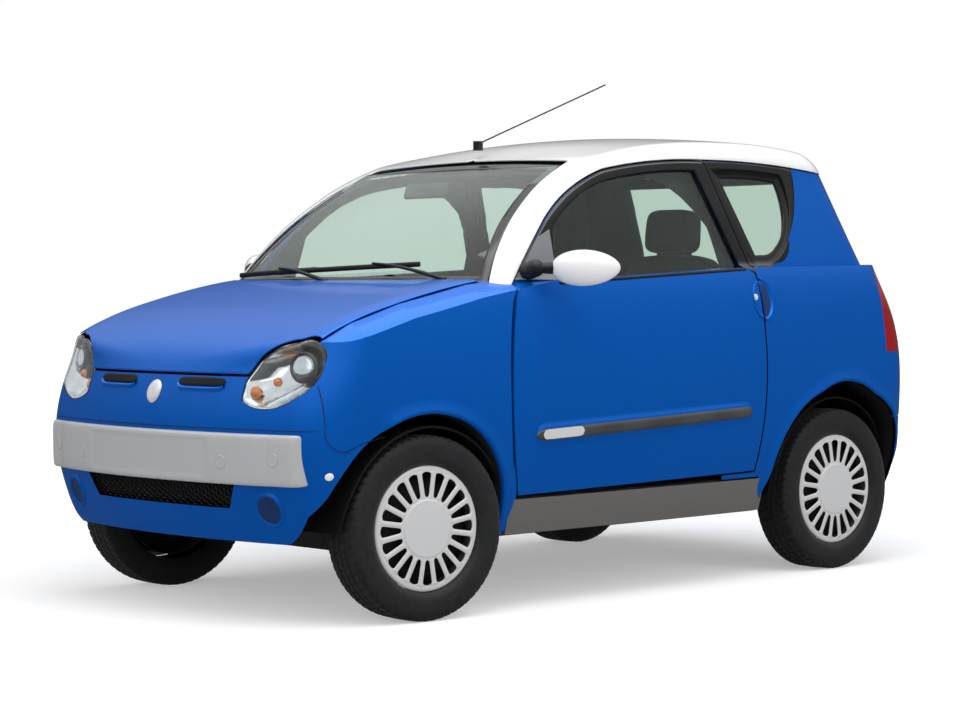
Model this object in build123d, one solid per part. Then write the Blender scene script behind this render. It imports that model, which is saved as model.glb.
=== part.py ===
from build123d import *
from math import cos, sin, radians, sqrt
import os

# Two-seat microcar. Millimetres, +Z up, the front faces -Y, +X is the car's own left side,
# and the origin is on the ground under the middle of the car.

# Overall
length = 2737
wheelbase = 1810
front_overhang = 518
track_front = 1216
track_rear = 1197
front_axle_y = -length / 2 + front_overhang
rear_axle_y = front_axle_y + wheelbase
door_middle_y = (front_axle_y + rear_axle_y) / 2 - 55

# Tyres and wheels
tyre_radius = 266
tyre_width = 145
tyre_wall = 13
bead_radius = 165
flange_height = 15
flange_thickness = 6
barrel_wall = 5
cover_radius = 181
cover_stand = 57
cover_thickness = 4
cover_spokes = 20
hub_radius = 52
spindle_radius = 12
steer_rest = -5
kingpin_inset = 10
kingpin_radius = 9

# Panels
shut_gap = 6
door_thickness = 60
frame_thickness = 40
skin_thickness = 24
roof_thickness = 34
glass_thickness = 5
glass_setback = 6
seat_gap = 0.3

# Heights
sill_top = 335
sill_bottom = 225
floor_bottom = 215
floor_thickness = 28
cabin_floor_top = floor_bottom + floor_thickness
boot_floor_top = 440

# The lower body in plan. Columns: height, front, rear, half width, front and rear corner radius.
front_bow = 2350
rear_bow = 8000
side_bow = 26000
body_middle_y = 250
lower_rows = [
    (190, -1262, 1300, 668, 150, 190),
    (330, -1318, 1358, 704, 150, 185),
    (480, -1348, 1367, 722, 150, 172),
    (620, -1332, 1362, 724, 150, 150),
    (760, -1284, 1355, 714, 155, 142),
    (900, -1262, 1315, 694, 180, 145),
    (1010, -1250, 1278, 664, 180, 146),
]

# Bonnet and belt in cross-section. Columns: station, height at the middle, at the side, corner radius.
deck_half = 740
deck_rows = [
    (-1420, 520, 500, 200),
    (-1300, 705, 690, 200),
    (-1262, 765, 750, 200),
    (-1200, 812, 800, 200),
    (-1080, 868, 855, 200),
    (-900, 920, 908, 200),
    (-640, 971, 959, 190),
    (-300, 996, 979, 120),
    (400, 1010, 1000, 90),
    (1420, 1016, 1008, 90),
]

# The upper body in plan, same columns as the lower one.
screen_bow = 2300
tail_bow = 4200
upper_side_bow = 20000
upper_rows = [
    (860, -720, 1300, 682, 90, 90),
    (960, -645, 1252, 656, 90, 90),
    (1060, -553, 1211, 631, 90, 105),
    (1160, -438, 1170, 606, 96, 116),
    (1260, -286, 1128, 580, 104, 120),
    (1357, -103, 1086, 556, 110, 122),
    (1450, 88, 1046, 532, 110, 120),
]

# The roof in cross-section, same columns as the bonnet.
roof_half = 560
roof_rows = [
    (-800, 1130, 1110, 90),
    (-60, 1350, 1330, 90),
    (120, 1398, 1362, 90),
    (330, 1424, 1384, 90),
    (560, 1432, 1392, 90),
    (800, 1426, 1386, 90),
    (980, 1402, 1366, 90),
    (1130, 1355, 1330, 90),
    (1300, 1270, 1250, 90),
]


def closed_face(path):
    """A face inside a path of points: two numbers end a line, four are an arc's middle and end."""
    edges = []
    at = path[0]
    for step in path[1:] + [path[0]]:
        end = step[-2:]
        if len(step) == 4:
            edges.append(ThreePointArc(at, step[:2], end))
        elif (Vector(*at) - Vector(*end)).length > 0.01:
            edges.append(Line(at, end))
        at = end
    return make_face(edges).face()


def side_prism(path, low=-900, high=900, inset=0):
    """A side-view outline (y, z) carried across the car from x = low to x = high."""
    face = closed_face(path)
    if inset:
        face = offset(face, -inset, kind=Kind.INTERSECTION).face()
    return extrude(Plane.YZ.offset(low) * face, high - low)


def front_prism(path, low=-1600, high=1600, inset=0):
    """A front-view outline (x, z) carried along the car from y = low to y = high."""
    face = closed_face(path)
    if inset:
        face = offset(face, -inset, kind=Kind.INTERSECTION).face()
    return extrude(Plane.XZ.offset(-high) * face, high - low)


def plan_prism(path, low=-100, high=1700, inset=0):
    """A plan outline (x, y) carried up from z = low to z = high."""
    face = closed_face(path)
    if inset:
        face = offset(face, -inset, kind=Kind.INTERSECTION).face()
    return extrude(Pos(0, 0, low) * face, high - low)


def block(x0, x1, y0, y1, z0, z1):
    """A block between two corners."""
    return Pos((x0 + x1) / 2, (y0 + y1) / 2, (z0 + z1) / 2) * Box(x1 - x0, y1 - y0, z1 - z0)


def mirrored(shape):
    """The same piece on the other side of the car."""
    return mirror(shape, about=Plane.YZ)


def rounded_plan(row, bows, inset):
    """Four bowed sides with rounded corners at one height."""
    z, front, rear, half, front_corner, rear_corner = row
    nose_bow, rear_end_bow, flank_bow = bows
    front = front + inset
    rear = rear - inset
    half = half - inset
    front_half = half - (body_middle_y - front) ** 2 / (2 * flank_bow)
    rear_half = half - (rear - body_middle_y) ** 2 / (2 * flank_bow)
    front_side_y = front + front_half ** 2 / (2 * nose_bow)
    rear_side_y = rear - rear_half ** 2 / (2 * rear_end_bow)
    face = closed_face([
        (-front_half, front_side_y),
        (0, front, front_half, front_side_y),
        (half, body_middle_y, rear_half, rear_side_y),
        (0, rear, -rear_half, rear_side_y),
        (-half, body_middle_y, -front_half, front_side_y),
    ])
    corners = sorted(face.vertices(), key=lambda v: v.Y)
    face = face.fillet_2d(front_corner - 0.7 * inset, corners[:2])
    corners = sorted(face.vertices(), key=lambda v: v.Y)
    face = face.fillet_2d(rear_corner - 0.7 * inset, corners[-2:])
    return Pos(0, 0, z) * face


def crowned_section(row, half, bottom, flare, inset):
    """An upright section with a crowned top and rounded upper corners, wider at the bottom by flare."""
    y, middle, side, corner = row
    half = half - inset
    face = closed_face([
        (-half - flare, bottom),
        (half + flare, bottom),
        (half, side - inset),
        (0, middle - inset, -half, side - inset),
    ])
    tops = sorted(face.vertices(), key=lambda v: v.Y)[-2:]
    face = face.fillet_2d(corner - 0.7 * inset, tops)
    return Plane(origin=(0, y, 0), x_dir=(1, 0, 0), z_dir=(0, -1, 0)) * face


def lower_plan(inset=0):
    """The body below the windows as its plan outlines give it, drawn in by inset."""
    return loft([rounded_plan(row, (front_bow, rear_bow, side_bow), inset) for row in lower_rows])


def deck(drop=0):
    """Everything under the bonnet and belt surface, lowered by drop."""
    return loft([crowned_section(row, deck_half, 100, 0, drop) for row in deck_rows], ruled=True)


def upper_plan(inset=0):
    """The body from the belt up as its plan outlines give it, drawn in by inset."""
    bows = (screen_bow, tail_bow, upper_side_bow)
    return loft([rounded_plan(row, bows, inset) for row in upper_rows])


def crown(drop=0):
    """Everything under the roof surface, lowered by drop."""
    return loft([crowned_section(row, roof_half + 40, 700, 200, drop) for row in roof_rows], ruled=True)


def one_solid(shape):
    """The largest solid of a shape."""
    return shape.solids().sort_by(SortBy.VOLUME)[-1]


def pair(shape):
    """A piece and its mirror image, as one node."""
    return Compound([shape, mirrored(shape)])


# Side-view outlines (y, z)
door_front_y = front_axle_y + 290
door_rear_y = front_axle_y + 1396
rail_end_y = door_rear_y - 131
door_outline = [
    (door_front_y + 33, sill_top),
    (door_front_y, 625, door_front_y + 47, 925),
    (door_front_y + 124, 1028, door_front_y + 237, 1148),
    (door_front_y + 319, 1212, door_front_y + 520, 1305),
    (door_front_y + 692, 1330, rail_end_y, 1344),
    (door_rear_y + 5, 975),
    (door_rear_y + 8, 700, door_rear_y - 45, sill_top + 15),
]
door_window = [
    (door_front_y + 236, 966),
    (door_front_y + 262, 1124),
    (door_front_y + 352, 1198, door_front_y + 534, 1274),
    (door_front_y + 704, 1299, rail_end_y - 42, 1311),
    (door_rear_y - 44, 1002),
]
quarter_window = [
    (rail_end_y + 38, 1318),
    (rail_end_y + 200, 1320, rail_end_y + 376, 1308),
    (rail_end_y + 388, 1150, rail_end_y + 302, 1036),
    (rail_end_y + 262, 1012, rail_end_y + 200, 1004),
    (door_rear_y + 36, 1002),
]
rail_outline = [
    (door_front_y + 47, 925),
    (door_front_y + 124, 1028, door_front_y + 237, 1148),
    (door_front_y + 319, 1212, door_front_y + 520, 1305),
    (door_front_y + 692, 1330, rail_end_y, 1344),
    (rail_end_y + 260, 1340, rail_end_y + 560, 1316),
    (rail_end_y + 720, 1300),
    (rail_end_y + 1000, 1300),
    (rail_end_y + 1000, 1600),
    (door_front_y - 400, 1600),
    (door_front_y - 400, 925),
]
front_arch = [
    (front_axle_y + 268, 100),
    (front_axle_y + 268, 300),
    (front_axle_y + 244, 440, front_axle_y + 131, 559),
    (front_axle_y + 1, 594, front_axle_y - 134, 571),
    (front_axle_y - 254, 510, front_axle_y - 352, 373),
    (front_axle_y - 380, 320),
    (front_axle_y - 380, 100),
]
rear_arch = [
    (rear_axle_y + 306, 100),
    (rear_axle_y + 304, 319),
    (rear_axle_y + 270, 480, rear_axle_y + 145, 579),
    (rear_axle_y + 20, 625, rear_axle_y - 128, 597),
    (rear_axle_y - 260, 530, rear_axle_y - 377, 349),
    (rear_axle_y - 410, 280),
    (rear_axle_y - 410, 100),
]
fascia_line_y = front_axle_y - 364
fascia_outline = [
    (fascia_line_y - 400, 100),
    (front_axle_y - 150, 100),
    (front_axle_y - 150, 540),
    (fascia_line_y + 100, 520),
    (fascia_line_y + 54, 500),
    (fascia_line_y + 12, 516, fascia_line_y, 570),
    (fascia_line_y, 704),
    (fascia_line_y - 400, 704),
]
rear_bumper_top = 500
rear_bumper_y = rear_axle_y + 150

# Front-view outlines (x, z)
lamp_outline = [
    (380, 638),
    (378, 690),
    (414, 748),
    (472, 787, 540, 802),
    (606, 796, 624, 744),
    (618, 692, 576, 650),
    (490, 616, 380, 638),
]
bonnet_outline = [
    (-760, 650),
    (-640, 800),
    (-541, 800),
    (-400, 704),
    (400, 704),
    (541, 800),
    (640, 800),
    (760, 650),
    (760, 1200),
    (-760, 1200),
]
bonnet_half = 600
bonnet_rear_y = front_axle_y + 188
bonnet_rear_rise = 78
bonnet_plan = [
    (-bonnet_half, front_axle_y - 700),
    (bonnet_half, front_axle_y - 700),
    (bonnet_half, bonnet_rear_y + bonnet_rear_rise),
    (0, bonnet_rear_y, -bonnet_half, bonnet_rear_y + bonnet_rear_rise),
]
tail_half_top = 462
tail_half_bottom = 505
tail_outline = [
    (-tail_half_bottom, 560),
    (tail_half_bottom, 560),
    (tail_half_bottom, 990),
    (tail_half_top, 1330),
    (-tail_half_top, 1330),
    (-tail_half_bottom, 990),
]
rear_window = [
    (-tail_half_bottom + 62, 985),
    (tail_half_bottom - 62, 985),
    (tail_half_top - 50, 1290),
    (-tail_half_top + 50, 1290),
]
tail_lamp_y = rear_axle_y + 220
tail_lamp_outline = [
    (524, 985),
    (690, 985),
    (740, 720),
    (640, 712, 560, 700),
    (526, 840, 524, 985),
]
screen_half_bottom = 611
screen_half_top = 457
screen_outline = [
    (-screen_half_bottom, 945),
    (screen_half_bottom, 945),
    (screen_half_top, 1330),
    (0, 1345, -screen_half_top, 1330),
]

plan_outer = lower_plan()
plan_skin = lower_plan(skin_thickness)
plan_wall = lower_plan(door_thickness)
deck_outer = deck()
deck_skin = deck(skin_thickness)
deck_wall = deck(roof_thickness)
upper_outer = upper_plan()
upper_wall = upper_plan(frame_thickness)
crown_outer = crown()
crown_wall = crown(roof_thickness)
pane_outer = upper_plan(glass_setback)
pane_inner = upper_plan(glass_setback + glass_thickness)


def nose_part(zone):
    """The thin skin of the body below the windows, inside a zone."""
    return (zone & deck_outer & plan_outer) - (zone & deck_skin & plan_skin)


def cab_part(zone):
    """The whole thickness of the cab's wall, inside a zone."""
    outer = (zone & deck_outer & plan_outer) + (zone & crown_outer & upper_outer)
    inner = (zone & deck_wall & plan_wall) + (zone & crown_wall & upper_wall)
    return outer - inner


def pane_part(zone):
    """The glass that fills a window zone."""
    return (zone & crown_outer & pane_outer) - pane_inner


door_low_x = 470
door_hole = side_prism(door_outline, door_low_x, 900)
door_holes = door_hole + mirrored(door_hole)
arches = side_prism(front_arch) + side_prism(rear_arch)
bonnet_zone = front_prism(bonnet_outline, -1600, bonnet_rear_y + 90) & plan_prism(bonnet_plan)
bonnet_cut = (front_prism(bonnet_outline, -1600, bonnet_rear_y + 90, shut_gap)
              & plan_prism(bonnet_plan, inset=shut_gap))
lamp_rear_y = front_axle_y - 250
lamp_zone = front_prism(lamp_outline, -1500, lamp_rear_y)
lamp_zones = lamp_zone + mirrored(lamp_zone)
lamp_room = front_prism(lamp_outline, -1500, lamp_rear_y + 10, -shut_gap)
above_rail = side_prism(rail_outline)
tail_zone = front_prism(tail_outline, rear_axle_y, 1600)
tail_lamp_zone = front_prism(tail_lamp_outline, tail_lamp_y, 1600)
tail_lamp_zones = tail_lamp_zone + mirrored(tail_lamp_zone)
fascia_zone = side_prism(fascia_outline)

# Bonnet
bonnet = one_solid(nose_part(bonnet_cut - lamp_room - mirrored(lamp_room)))

# Front fascia, with the lower grille opening and two blank round recesses
grille_half_top = 362
grille_half_bottom = 324
grille_bottom = 332
grille_top = 402
bumper_bottom = 398
bumper_top = 552
bumper_half = 618
fog_x = 476
fog_z = 335
fog_radius = 44
fog_depth = 14
valance_bottom = 236
grille_outline = [
    (-grille_half_bottom, grille_bottom),
    (grille_half_bottom, grille_bottom),
    (grille_half_top, grille_top),
    (-grille_half_top, grille_top),
]
grille_hole = front_prism(grille_outline, -1600, front_axle_y)
fascia_body = fascia_zone & block(-900, 900, -1600, 0, valance_bottom, 704)
fascia_body = fascia_body - arches - lamp_zones - bonnet_zone - grille_hole
fascia = (fascia_body & plan_outer) - plan_skin
fog_y = -length / 2 + 66
for x in (-fog_x, fog_x):
    fascia -= Pos(x, fog_y, fog_z) * Rot(90, 0, 0) * Cylinder(fog_radius, 2 * fog_depth)
fascia = one_solid(fascia)

# Bumper bar, a bowed band that stands proud of the fascia
bumper_row = (bumper_bottom - 20, -length / 2, 1400, 690, 290, 180)
bumper_top_row = (bumper_top + 20, *bumper_row[1:])
bumper_bows = (2400, rear_bow, side_bow)
bumper = loft([rounded_plan(row, bumper_bows, 0) for row in (bumper_row, bumper_top_row)])
bumper &= block(-bumper_half, bumper_half, -1600, front_axle_y - 200, bumper_bottom, bumper_top)
bumper = one_solid(bumper - plan_outer)

# Lower grille, a thin plate behind the opening
grille_plate = 6
grille_set = 10
grille_block = front_prism(grille_outline, -1600, front_axle_y, seat_gap)
grille = one_solid((grille_block & lower_plan(grille_set)) - lower_plan(grille_set + grille_plate))

# Front wings, cut back round the door's hinge line
door_axis_x = 688
door_axis_y = door_front_y + 55
door_corner_room = closed_face([
    (0, 200),
    (33, 200),
    (33, sill_top),
    (62, 620, 17, 925),
    (17, 1100),
    (0, 1100),
])
wing_zone = block(300, 900, fascia_line_y - 10, door_front_y + 60, sill_bottom, 1000)
wing_zone = wing_zone - fascia_zone - arches - lamp_zones - bonnet_zone - door_hole
wing_zone -= block(0, 900, door_front_y - 6, 0, 0, sill_top)
wing_zone -= Pos(door_axis_x, door_axis_y, 0) * revolve(Plane.XZ * door_corner_room, Axis.Z)
wing = one_solid(nose_part(wing_zone) - upper_outer)

# Sills
sill_zone = block(500, 900, front_axle_y + 296, rear_axle_y - 410, sill_bottom, sill_top - shut_gap)
sill = one_solid((sill_zone & plan_outer) - plan_wall)

# Doors: panel with a window frame, and pane
door_zone = side_prism(door_outline, door_low_x, 900, shut_gap) - side_prism(door_window, 300, 900)
door_draft = 0.2
draft_edge_y = door_rear_y + 3 - shut_gap
draft_face = closed_face([
    (652, draft_edge_y),
    (452, draft_edge_y - 200 * door_draft),
    (452, draft_edge_y + 60),
    (652, draft_edge_y + 60),
])
door_zone -= extrude(Pos(0, 0, 965) * draft_face, 425, dir=(-94, -136, 369))
door_panel = one_solid(cab_part(door_zone))
door_pane = one_solid(pane_part(side_prism(door_window, 300, 900, seat_gap)))

# Quarter panels and their panes
quarter_zone = block(300, 900, door_rear_y - 200, 1500, sill_bottom, 1500)
quarter_zone = quarter_zone - above_rail - door_hole - arches - tail_zone - tail_lamp_zones
quarter_zone -= block(0, 900, rear_bumper_y, 1600, 0, rear_bumper_top)
quarter_zone -= block(0, 900, -600, rear_axle_y - 410 + shut_gap, 0, sill_top)
quarter_zone -= side_prism(quarter_window, 300, 900)
quarter = one_solid(cab_part(quarter_zone))
quarter_pane = one_solid(pane_part(side_prism(quarter_window, 300, 900, seat_gap)))

# Roof with the windscreen pillars
roof_zone = above_rail & block(-900, 900, -1600, 1600, 930, 1600)
roof_zone = roof_zone - front_prism(screen_outline, -1600, front_axle_y + 1000)
roof_zone -= block(-screen_half_bottom, screen_half_bottom, -1600, front_axle_y + 500, 900, 946)
roof_zone = roof_zone - tail_zone
roof = one_solid((roof_zone & crown_outer & upper_outer) - (crown_wall & upper_wall))
screen = one_solid(pane_part(front_prism(screen_outline, -1600, front_axle_y + 1000, seat_gap)))

# Tailgate
tail_body = front_prism(tail_outline, rear_axle_y + 60, 1600, shut_gap)
tail_body -= front_prism(rear_window, rear_axle_y, 1600)
tailgate = one_solid(cab_part(tail_body))
tail_pane = one_solid(pane_part(front_prism(rear_window, rear_axle_y, 1600, seat_gap)))

# Rear bumper
rear_zone = block(-900, 900, rear_bumper_y + shut_gap, 1600, 260, rear_bumper_top - shut_gap) - arches
rear_bumper = one_solid((rear_zone & plan_outer) - plan_skin)

# Lamps
lamp_depth = 60
lamp_solid = front_prism(lamp_outline, -1500, lamp_rear_y - seat_gap, seat_gap)
lamp = one_solid((lamp_solid & deck_outer & plan_outer) - plan_wall)
tail_lamp_solid = front_prism(tail_lamp_outline, tail_lamp_y + seat_gap, 1600, seat_gap)
tail_lamp = one_solid((tail_lamp_solid & deck_outer & plan_outer) - plan_wall)

# Cowl under the windscreen, from the bonnet's rear edge to the bulkhead
cowl_half = 560
cowl_zone = block(-cowl_half, cowl_half, bonnet_rear_y - 10, front_axle_y + 299, 880, 975)
cowl = one_solid((cowl_zone & deck_skin & pane_inner) - bonnet_zone)

# Underbody: floor pan, bulkhead, wheelhouses, rails, rear seat-back panel and boot floor
rocker_inner_x = 585
bulkhead_y = front_axle_y + 300
bulkhead_thickness = 14
bulkhead_top = 890
rail_x = 320
rail_width = 50
rail_height = 70
rail_bottom = 250
boot_front_y = rear_axle_y - 360
boot_rear_y = length / 2 - 70
slam_y = -length / 2 + 130
house_inner_x = 398
house_outer_x = 760
house_radius = 286
house_wall = 7
rear_house_radius = 300
rear_house_inner_x = 450

pan = block(-800, 800, bulkhead_y, boot_front_y, floor_bottom, cabin_floor_top)
rockers = block(-800, 800, bulkhead_y, boot_front_y, floor_bottom, sill_top - shut_gap)
rockers -= block(-rocker_inner_x, rocker_inner_x, -900, 900, 0, 900)
pan = (pan + rockers) & plan_wall
bulkhead = block(-590, 590, bulkhead_y, bulkhead_y + bulkhead_thickness, floor_bottom, bulkhead_top)
boot_floor = block(-800, 800, boot_front_y - floor_thickness, boot_rear_y,
                   boot_floor_top - floor_thickness, boot_floor_top)
boot_wall = block(-800, 800, boot_front_y - floor_thickness, boot_front_y, floor_bottom, boot_floor_top)
boot = (boot_floor + boot_wall) & plan_wall
nose_panel = block(-rail_x - 60, rail_x + 60, -1600, slam_y + 40, rail_bottom, rail_bottom + rail_height)
underbody = pan + bulkhead + boot + (nose_panel & plan_skin)
for side in (-1, 1):
    rail_low = side * rail_x - rail_width / 2
    rail_high = side * rail_x + rail_width / 2
    underbody += block(rail_low, rail_high, slam_y, bulkhead_y + 20, rail_bottom, rail_bottom + rail_height)
    underbody += block(rail_low, rail_high, boot_front_y - 20, boot_rear_y,
                       boot_floor_top - floor_thickness - rail_height, boot_floor_top - 10)


def wheelhouse(axle_y, radius, inner_x, outer_x):
    """Half a drum over a wheel, closed on its inner side."""
    turn = Rot(0, 90, 0)
    width = outer_x - inner_x
    middle_x = (inner_x + outer_x) / 2
    outer = Pos(middle_x - house_wall / 2, axle_y, tyre_radius) * turn * Cylinder(
        radius + house_wall, width + house_wall)
    inner = Pos(middle_x + 1, axle_y, tyre_radius) * turn * Cylinder(radius, width + 2)
    shell = outer - inner
    return shell & block(0, 900, axle_y - 500, axle_y + 500, tyre_radius, 900)


front_house = wheelhouse(front_axle_y, house_radius, house_inner_x, house_outer_x) & plan_skin
rear_house = wheelhouse(rear_axle_y, rear_house_radius, rear_house_inner_x, house_outer_x) & plan_wall
houses = front_house + rear_house


def tyre_space(axle_y, radius, inner_x):
    """The room around a wheel, down to the road."""
    drum = Pos(inner_x + 300, axle_y, tyre_radius) * Rot(0, 90, 0) * Cylinder(radius, 600)
    return drum + block(inner_x, inner_x + 600, axle_y - radius, axle_y + radius, 0, tyre_radius)


spaces = (tyre_space(front_axle_y, house_radius, house_inner_x)
          + tyre_space(rear_axle_y, rear_house_radius, rear_house_inner_x))
underbody = underbody - spaces - mirrored(spaces) + houses + mirrored(houses)
house_link = block(rail_x, house_inner_x, front_axle_y - 60, front_axle_y + 60, 285, 315)
underbody = underbody + house_link + mirrored(house_link)
beam_radius = 24
beam_room = Pos(0, rear_axle_y, tyre_radius) * Rot(0, 90, 0) * Cylinder(beam_radius + 10, 1200)
underbody = one_solid(underbody - beam_room)

# Engine and gearbox, one plain block on the rails
engine_length = 400
engine_height = 320
engine_z = rail_bottom + rail_height + engine_height / 2 + seat_gap
engine_block = Pos(0, front_axle_y, engine_z) * Box(2 * rail_x + rail_width, engine_length, engine_height)
engine = fillet(engine_block.edges(), 18)

# Front axle: crossmember, lower arms with their kingpins, and spring struts
kingpin_x = track_front / 2 - kingpin_inset
arm_z = 188
arm_height = 18
arm_width = 44
strut_x = 462
strut_radius = 24
front_cross_x = 350
front_axle = block(-front_cross_x, front_cross_x, front_axle_y - 35, front_axle_y + 35,
                   arm_z - 12, rail_bottom - seat_gap)
for side in (-1, 1):
    low = min(side * 300, side * kingpin_x)
    high = max(side * 300, side * kingpin_x)
    front_axle += block(low, high, front_axle_y - arm_width / 2, front_axle_y + arm_width / 2,
                        arm_z - arm_height / 2, arm_z + arm_height / 2)
    front_axle += Pos(side * kingpin_x, front_axle_y, arm_z) * Cylinder(arm_width / 2, arm_height)
    front_axle += Pos(side * kingpin_x, front_axle_y, (arm_z + 248) / 2) * Cylinder(
        kingpin_radius, 248 - arm_z)
    strut_top = tyre_radius + sqrt(house_radius ** 2 - strut_radius ** 2) - 1
    front_axle += Pos(side * strut_x, front_axle_y, (arm_z + strut_top) / 2) * Cylinder(
        strut_radius, strut_top - arm_z)
front_axle = one_solid(front_axle)

# Rear axle: beam, trailing arms, springs and the wheels' spindles
spring_radius = 34
rear_spindle_end = track_rear / 2 + 20
beam = Pos(0, rear_axle_y, tyre_radius) * Rot(0, 90, 0) * Cylinder(beam_radius, 2 * 515)
spindle = Pos(0, rear_axle_y, tyre_radius) * Rot(0, 90, 0) * Cylinder(spindle_radius, 2 * rear_spindle_end)
rear_axle = beam + spindle
for side in (-1, 1):
    rear_axle += block(side * 395 - 20, side * 395 + 20, boot_front_y + seat_gap, rear_axle_y, 246, 286)
    spring_top = boot_floor_top - floor_thickness
    rear_axle += Pos(side * 395, rear_axle_y, (tyre_radius + spring_top) / 2) * Cylinder(
        spring_radius, spring_top - tyre_radius - 2 * seat_gap)
rear_axle = one_solid(rear_axle)

# Knuckles, turned with the wheels about the kingpins
knuckle_radius = 46
knuckle_inner_x = 545


def turned(shape, side):
    """Turns a front-wheel piece about its kingpin to the angle at which the car stands."""
    pivot = (side * kingpin_x, front_axle_y, 0)
    return Pos(*pivot) * Rot(0, 0, steer_rest) * Pos(-pivot[0], -pivot[1], 0) * shape


knuckle_outer_x = track_front / 2 + 8
knuckle = Pos((knuckle_inner_x + knuckle_outer_x) / 2, front_axle_y, tyre_radius) * Rot(0, 90, 0) * Cylinder(
    knuckle_radius, knuckle_outer_x - knuckle_inner_x)
knuckle += Pos((knuckle_outer_x + track_front / 2 + 24) / 2, front_axle_y, tyre_radius) * Rot(0, 90, 0) * (
    Cylinder(spindle_radius, track_front / 2 + 24 - knuckle_outer_x + 4))
knuckle -= Pos(kingpin_x, front_axle_y, 220) * Cylinder(kingpin_radius + seat_gap, 70)
knuckle = one_solid(knuckle)

# Wheels, built at the middle of the tyre with the outer face towards +X
rim_disc_x = 16
rim_disc_thickness = 8
half_width = tyre_width / 2
flange_x = half_width - 14


def wheel_ring(points):
    """A ring turned about the wheel's axle from its section (x, radius)."""
    face = closed_face(points)
    return revolve(face, Axis.X)


barrel = wheel_ring([
    (-flange_x, bead_radius - barrel_wall),
    (-flange_x, bead_radius + flange_height),
    (-flange_x + flange_thickness, bead_radius + flange_height),
    (-flange_x + flange_thickness, bead_radius),
    (flange_x - flange_thickness, bead_radius),
    (flange_x - flange_thickness, bead_radius + flange_height),
    (flange_x, bead_radius + flange_height),
    (flange_x, bead_radius - barrel_wall),
])
disc = wheel_ring([
    (rim_disc_x, spindle_radius + 0.3),
    (rim_disc_x, bead_radius - barrel_wall + 1),
    (rim_disc_x + rim_disc_thickness, bead_radius - barrel_wall + 1),
    (rim_disc_x + rim_disc_thickness, spindle_radius + 0.3),
])
cover = wheel_ring([
    (rim_disc_x + rim_disc_thickness, hub_radius - 14),
    (cover_stand - 6, hub_radius - 4),
    (cover_stand - 2, 120, flange_x - 1, cover_radius - 8),
    (flange_x - 1, cover_radius - 2),
    (flange_x + 3, cover_radius),
    (cover_stand + 2, 120, cover_stand - 1, hub_radius),
    (cover_stand + 3, hub_radius - 8),
    (cover_stand + 4, 0.01),
    (rim_disc_x + rim_disc_thickness + 6, 0.01),
    (rim_disc_x + rim_disc_thickness + 6, hub_radius - 20),
    (rim_disc_x + rim_disc_thickness, hub_radius - 20),
])
slot_inner = 72
slot_outer = 150
slot_width = 14
cover_slots = [
    Rot(turn * 360 / cover_spokes, 0, 0) * Pos(cover_stand, 0, (slot_inner + slot_outer) / 2)
    * Box(30, slot_width, slot_outer - slot_inner)
    for turn in range(cover_spokes)
]
rim = one_solid(barrel + disc + (cover - cover_slots))
tyre = wheel_ring([
    (-flange_x + flange_thickness + seat_gap, bead_radius + seat_gap),
    (-flange_x + flange_thickness + seat_gap, bead_radius + flange_height + 4),
    (-half_width, bead_radius + 0.47 * (tyre_radius - bead_radius), -half_width + 9, tyre_radius - 14),
    (-half_width + 14, tyre_radius - 3, -half_width + 24, tyre_radius - 1),
    (0, tyre_radius, half_width - 24, tyre_radius - 1),
    (half_width - 14, tyre_radius - 3, half_width - 9, tyre_radius - 14),
    (half_width, bead_radius + 0.47 * (tyre_radius - bead_radius),
     flange_x - flange_thickness - seat_gap, bead_radius + flange_height + 4),
    (flange_x - flange_thickness - seat_gap, bead_radius + seat_gap),
    (flange_x - flange_thickness - seat_gap - tyre_wall, bead_radius + seat_gap),
    (flange_x - flange_thickness - seat_gap - tyre_wall, bead_radius + flange_height),
    (half_width - tyre_wall, bead_radius + 0.47 * (tyre_radius - bead_radius),
     half_width - 9 - tyre_wall, tyre_radius - 14 - tyre_wall),
    (-half_width + 9 + tyre_wall, tyre_radius - 14 - tyre_wall),
    (-half_width + tyre_wall, bead_radius + 0.47 * (tyre_radius - bead_radius),
     -flange_x + flange_thickness + seat_gap + tyre_wall, bead_radius + flange_height),
    (-flange_x + flange_thickness + seat_gap + tyre_wall, bead_radius + seat_gap),
])

# Dashboard with an instrument hood
dash_half = 596
dash_front_y = bulkhead_y + bulkhead_thickness
dashboard = side_prism([
    (dash_front_y, 700),
    (dash_front_y, 905),
    (dash_front_y + 120, 935, dash_front_y + 290, 900),
    (dash_front_y + 330, 870, dash_front_y + 330, 820),
    (dash_front_y + 250, 640),
    (dash_front_y + 170, 620),
    (dash_front_y + 120, 700),
], -dash_half, dash_half)
wheel_x = 285
hood = side_prism([
    (dash_front_y + 190, 880),
    (dash_front_y + 190, 925),
    (dash_front_y + 290, 972, dash_front_y + 372, 950),
    (dash_front_y + 352, 850),
    (dash_front_y + 300, 800),
], wheel_x - 150, wheel_x + 150)
dashboard = one_solid(dashboard + hood)

# Steering wheel on its column, along a leaning axis
wheel_lean = 24
wheel_y = dash_front_y + 470
wheel_z = 820
wheel_rim_radius = 180
wheel_rim_tube = 13
column_radius = 20
steering = Torus(wheel_rim_radius, wheel_rim_tube) + Cylinder(45, 26)
for turn in (-90, 30, 150):
    steering += Rot(0, 0, turn) * Pos(wheel_rim_radius / 2, 0, 0) * Box(wheel_rim_radius, 26, 10)
steering += Pos(0, 0, -75) * Cylinder(column_radius, 150)
wheel_place = Pos(wheel_x, wheel_y, wheel_z) * Rot(wheel_lean - 90, 0, 0)
steering_wheel = one_solid(wheel_place * steering)
column_hole = wheel_place * Pos(0, 0, -115) * Cylinder(column_radius + 4, 100)
dashboard = one_solid(dashboard - column_hole)

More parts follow.
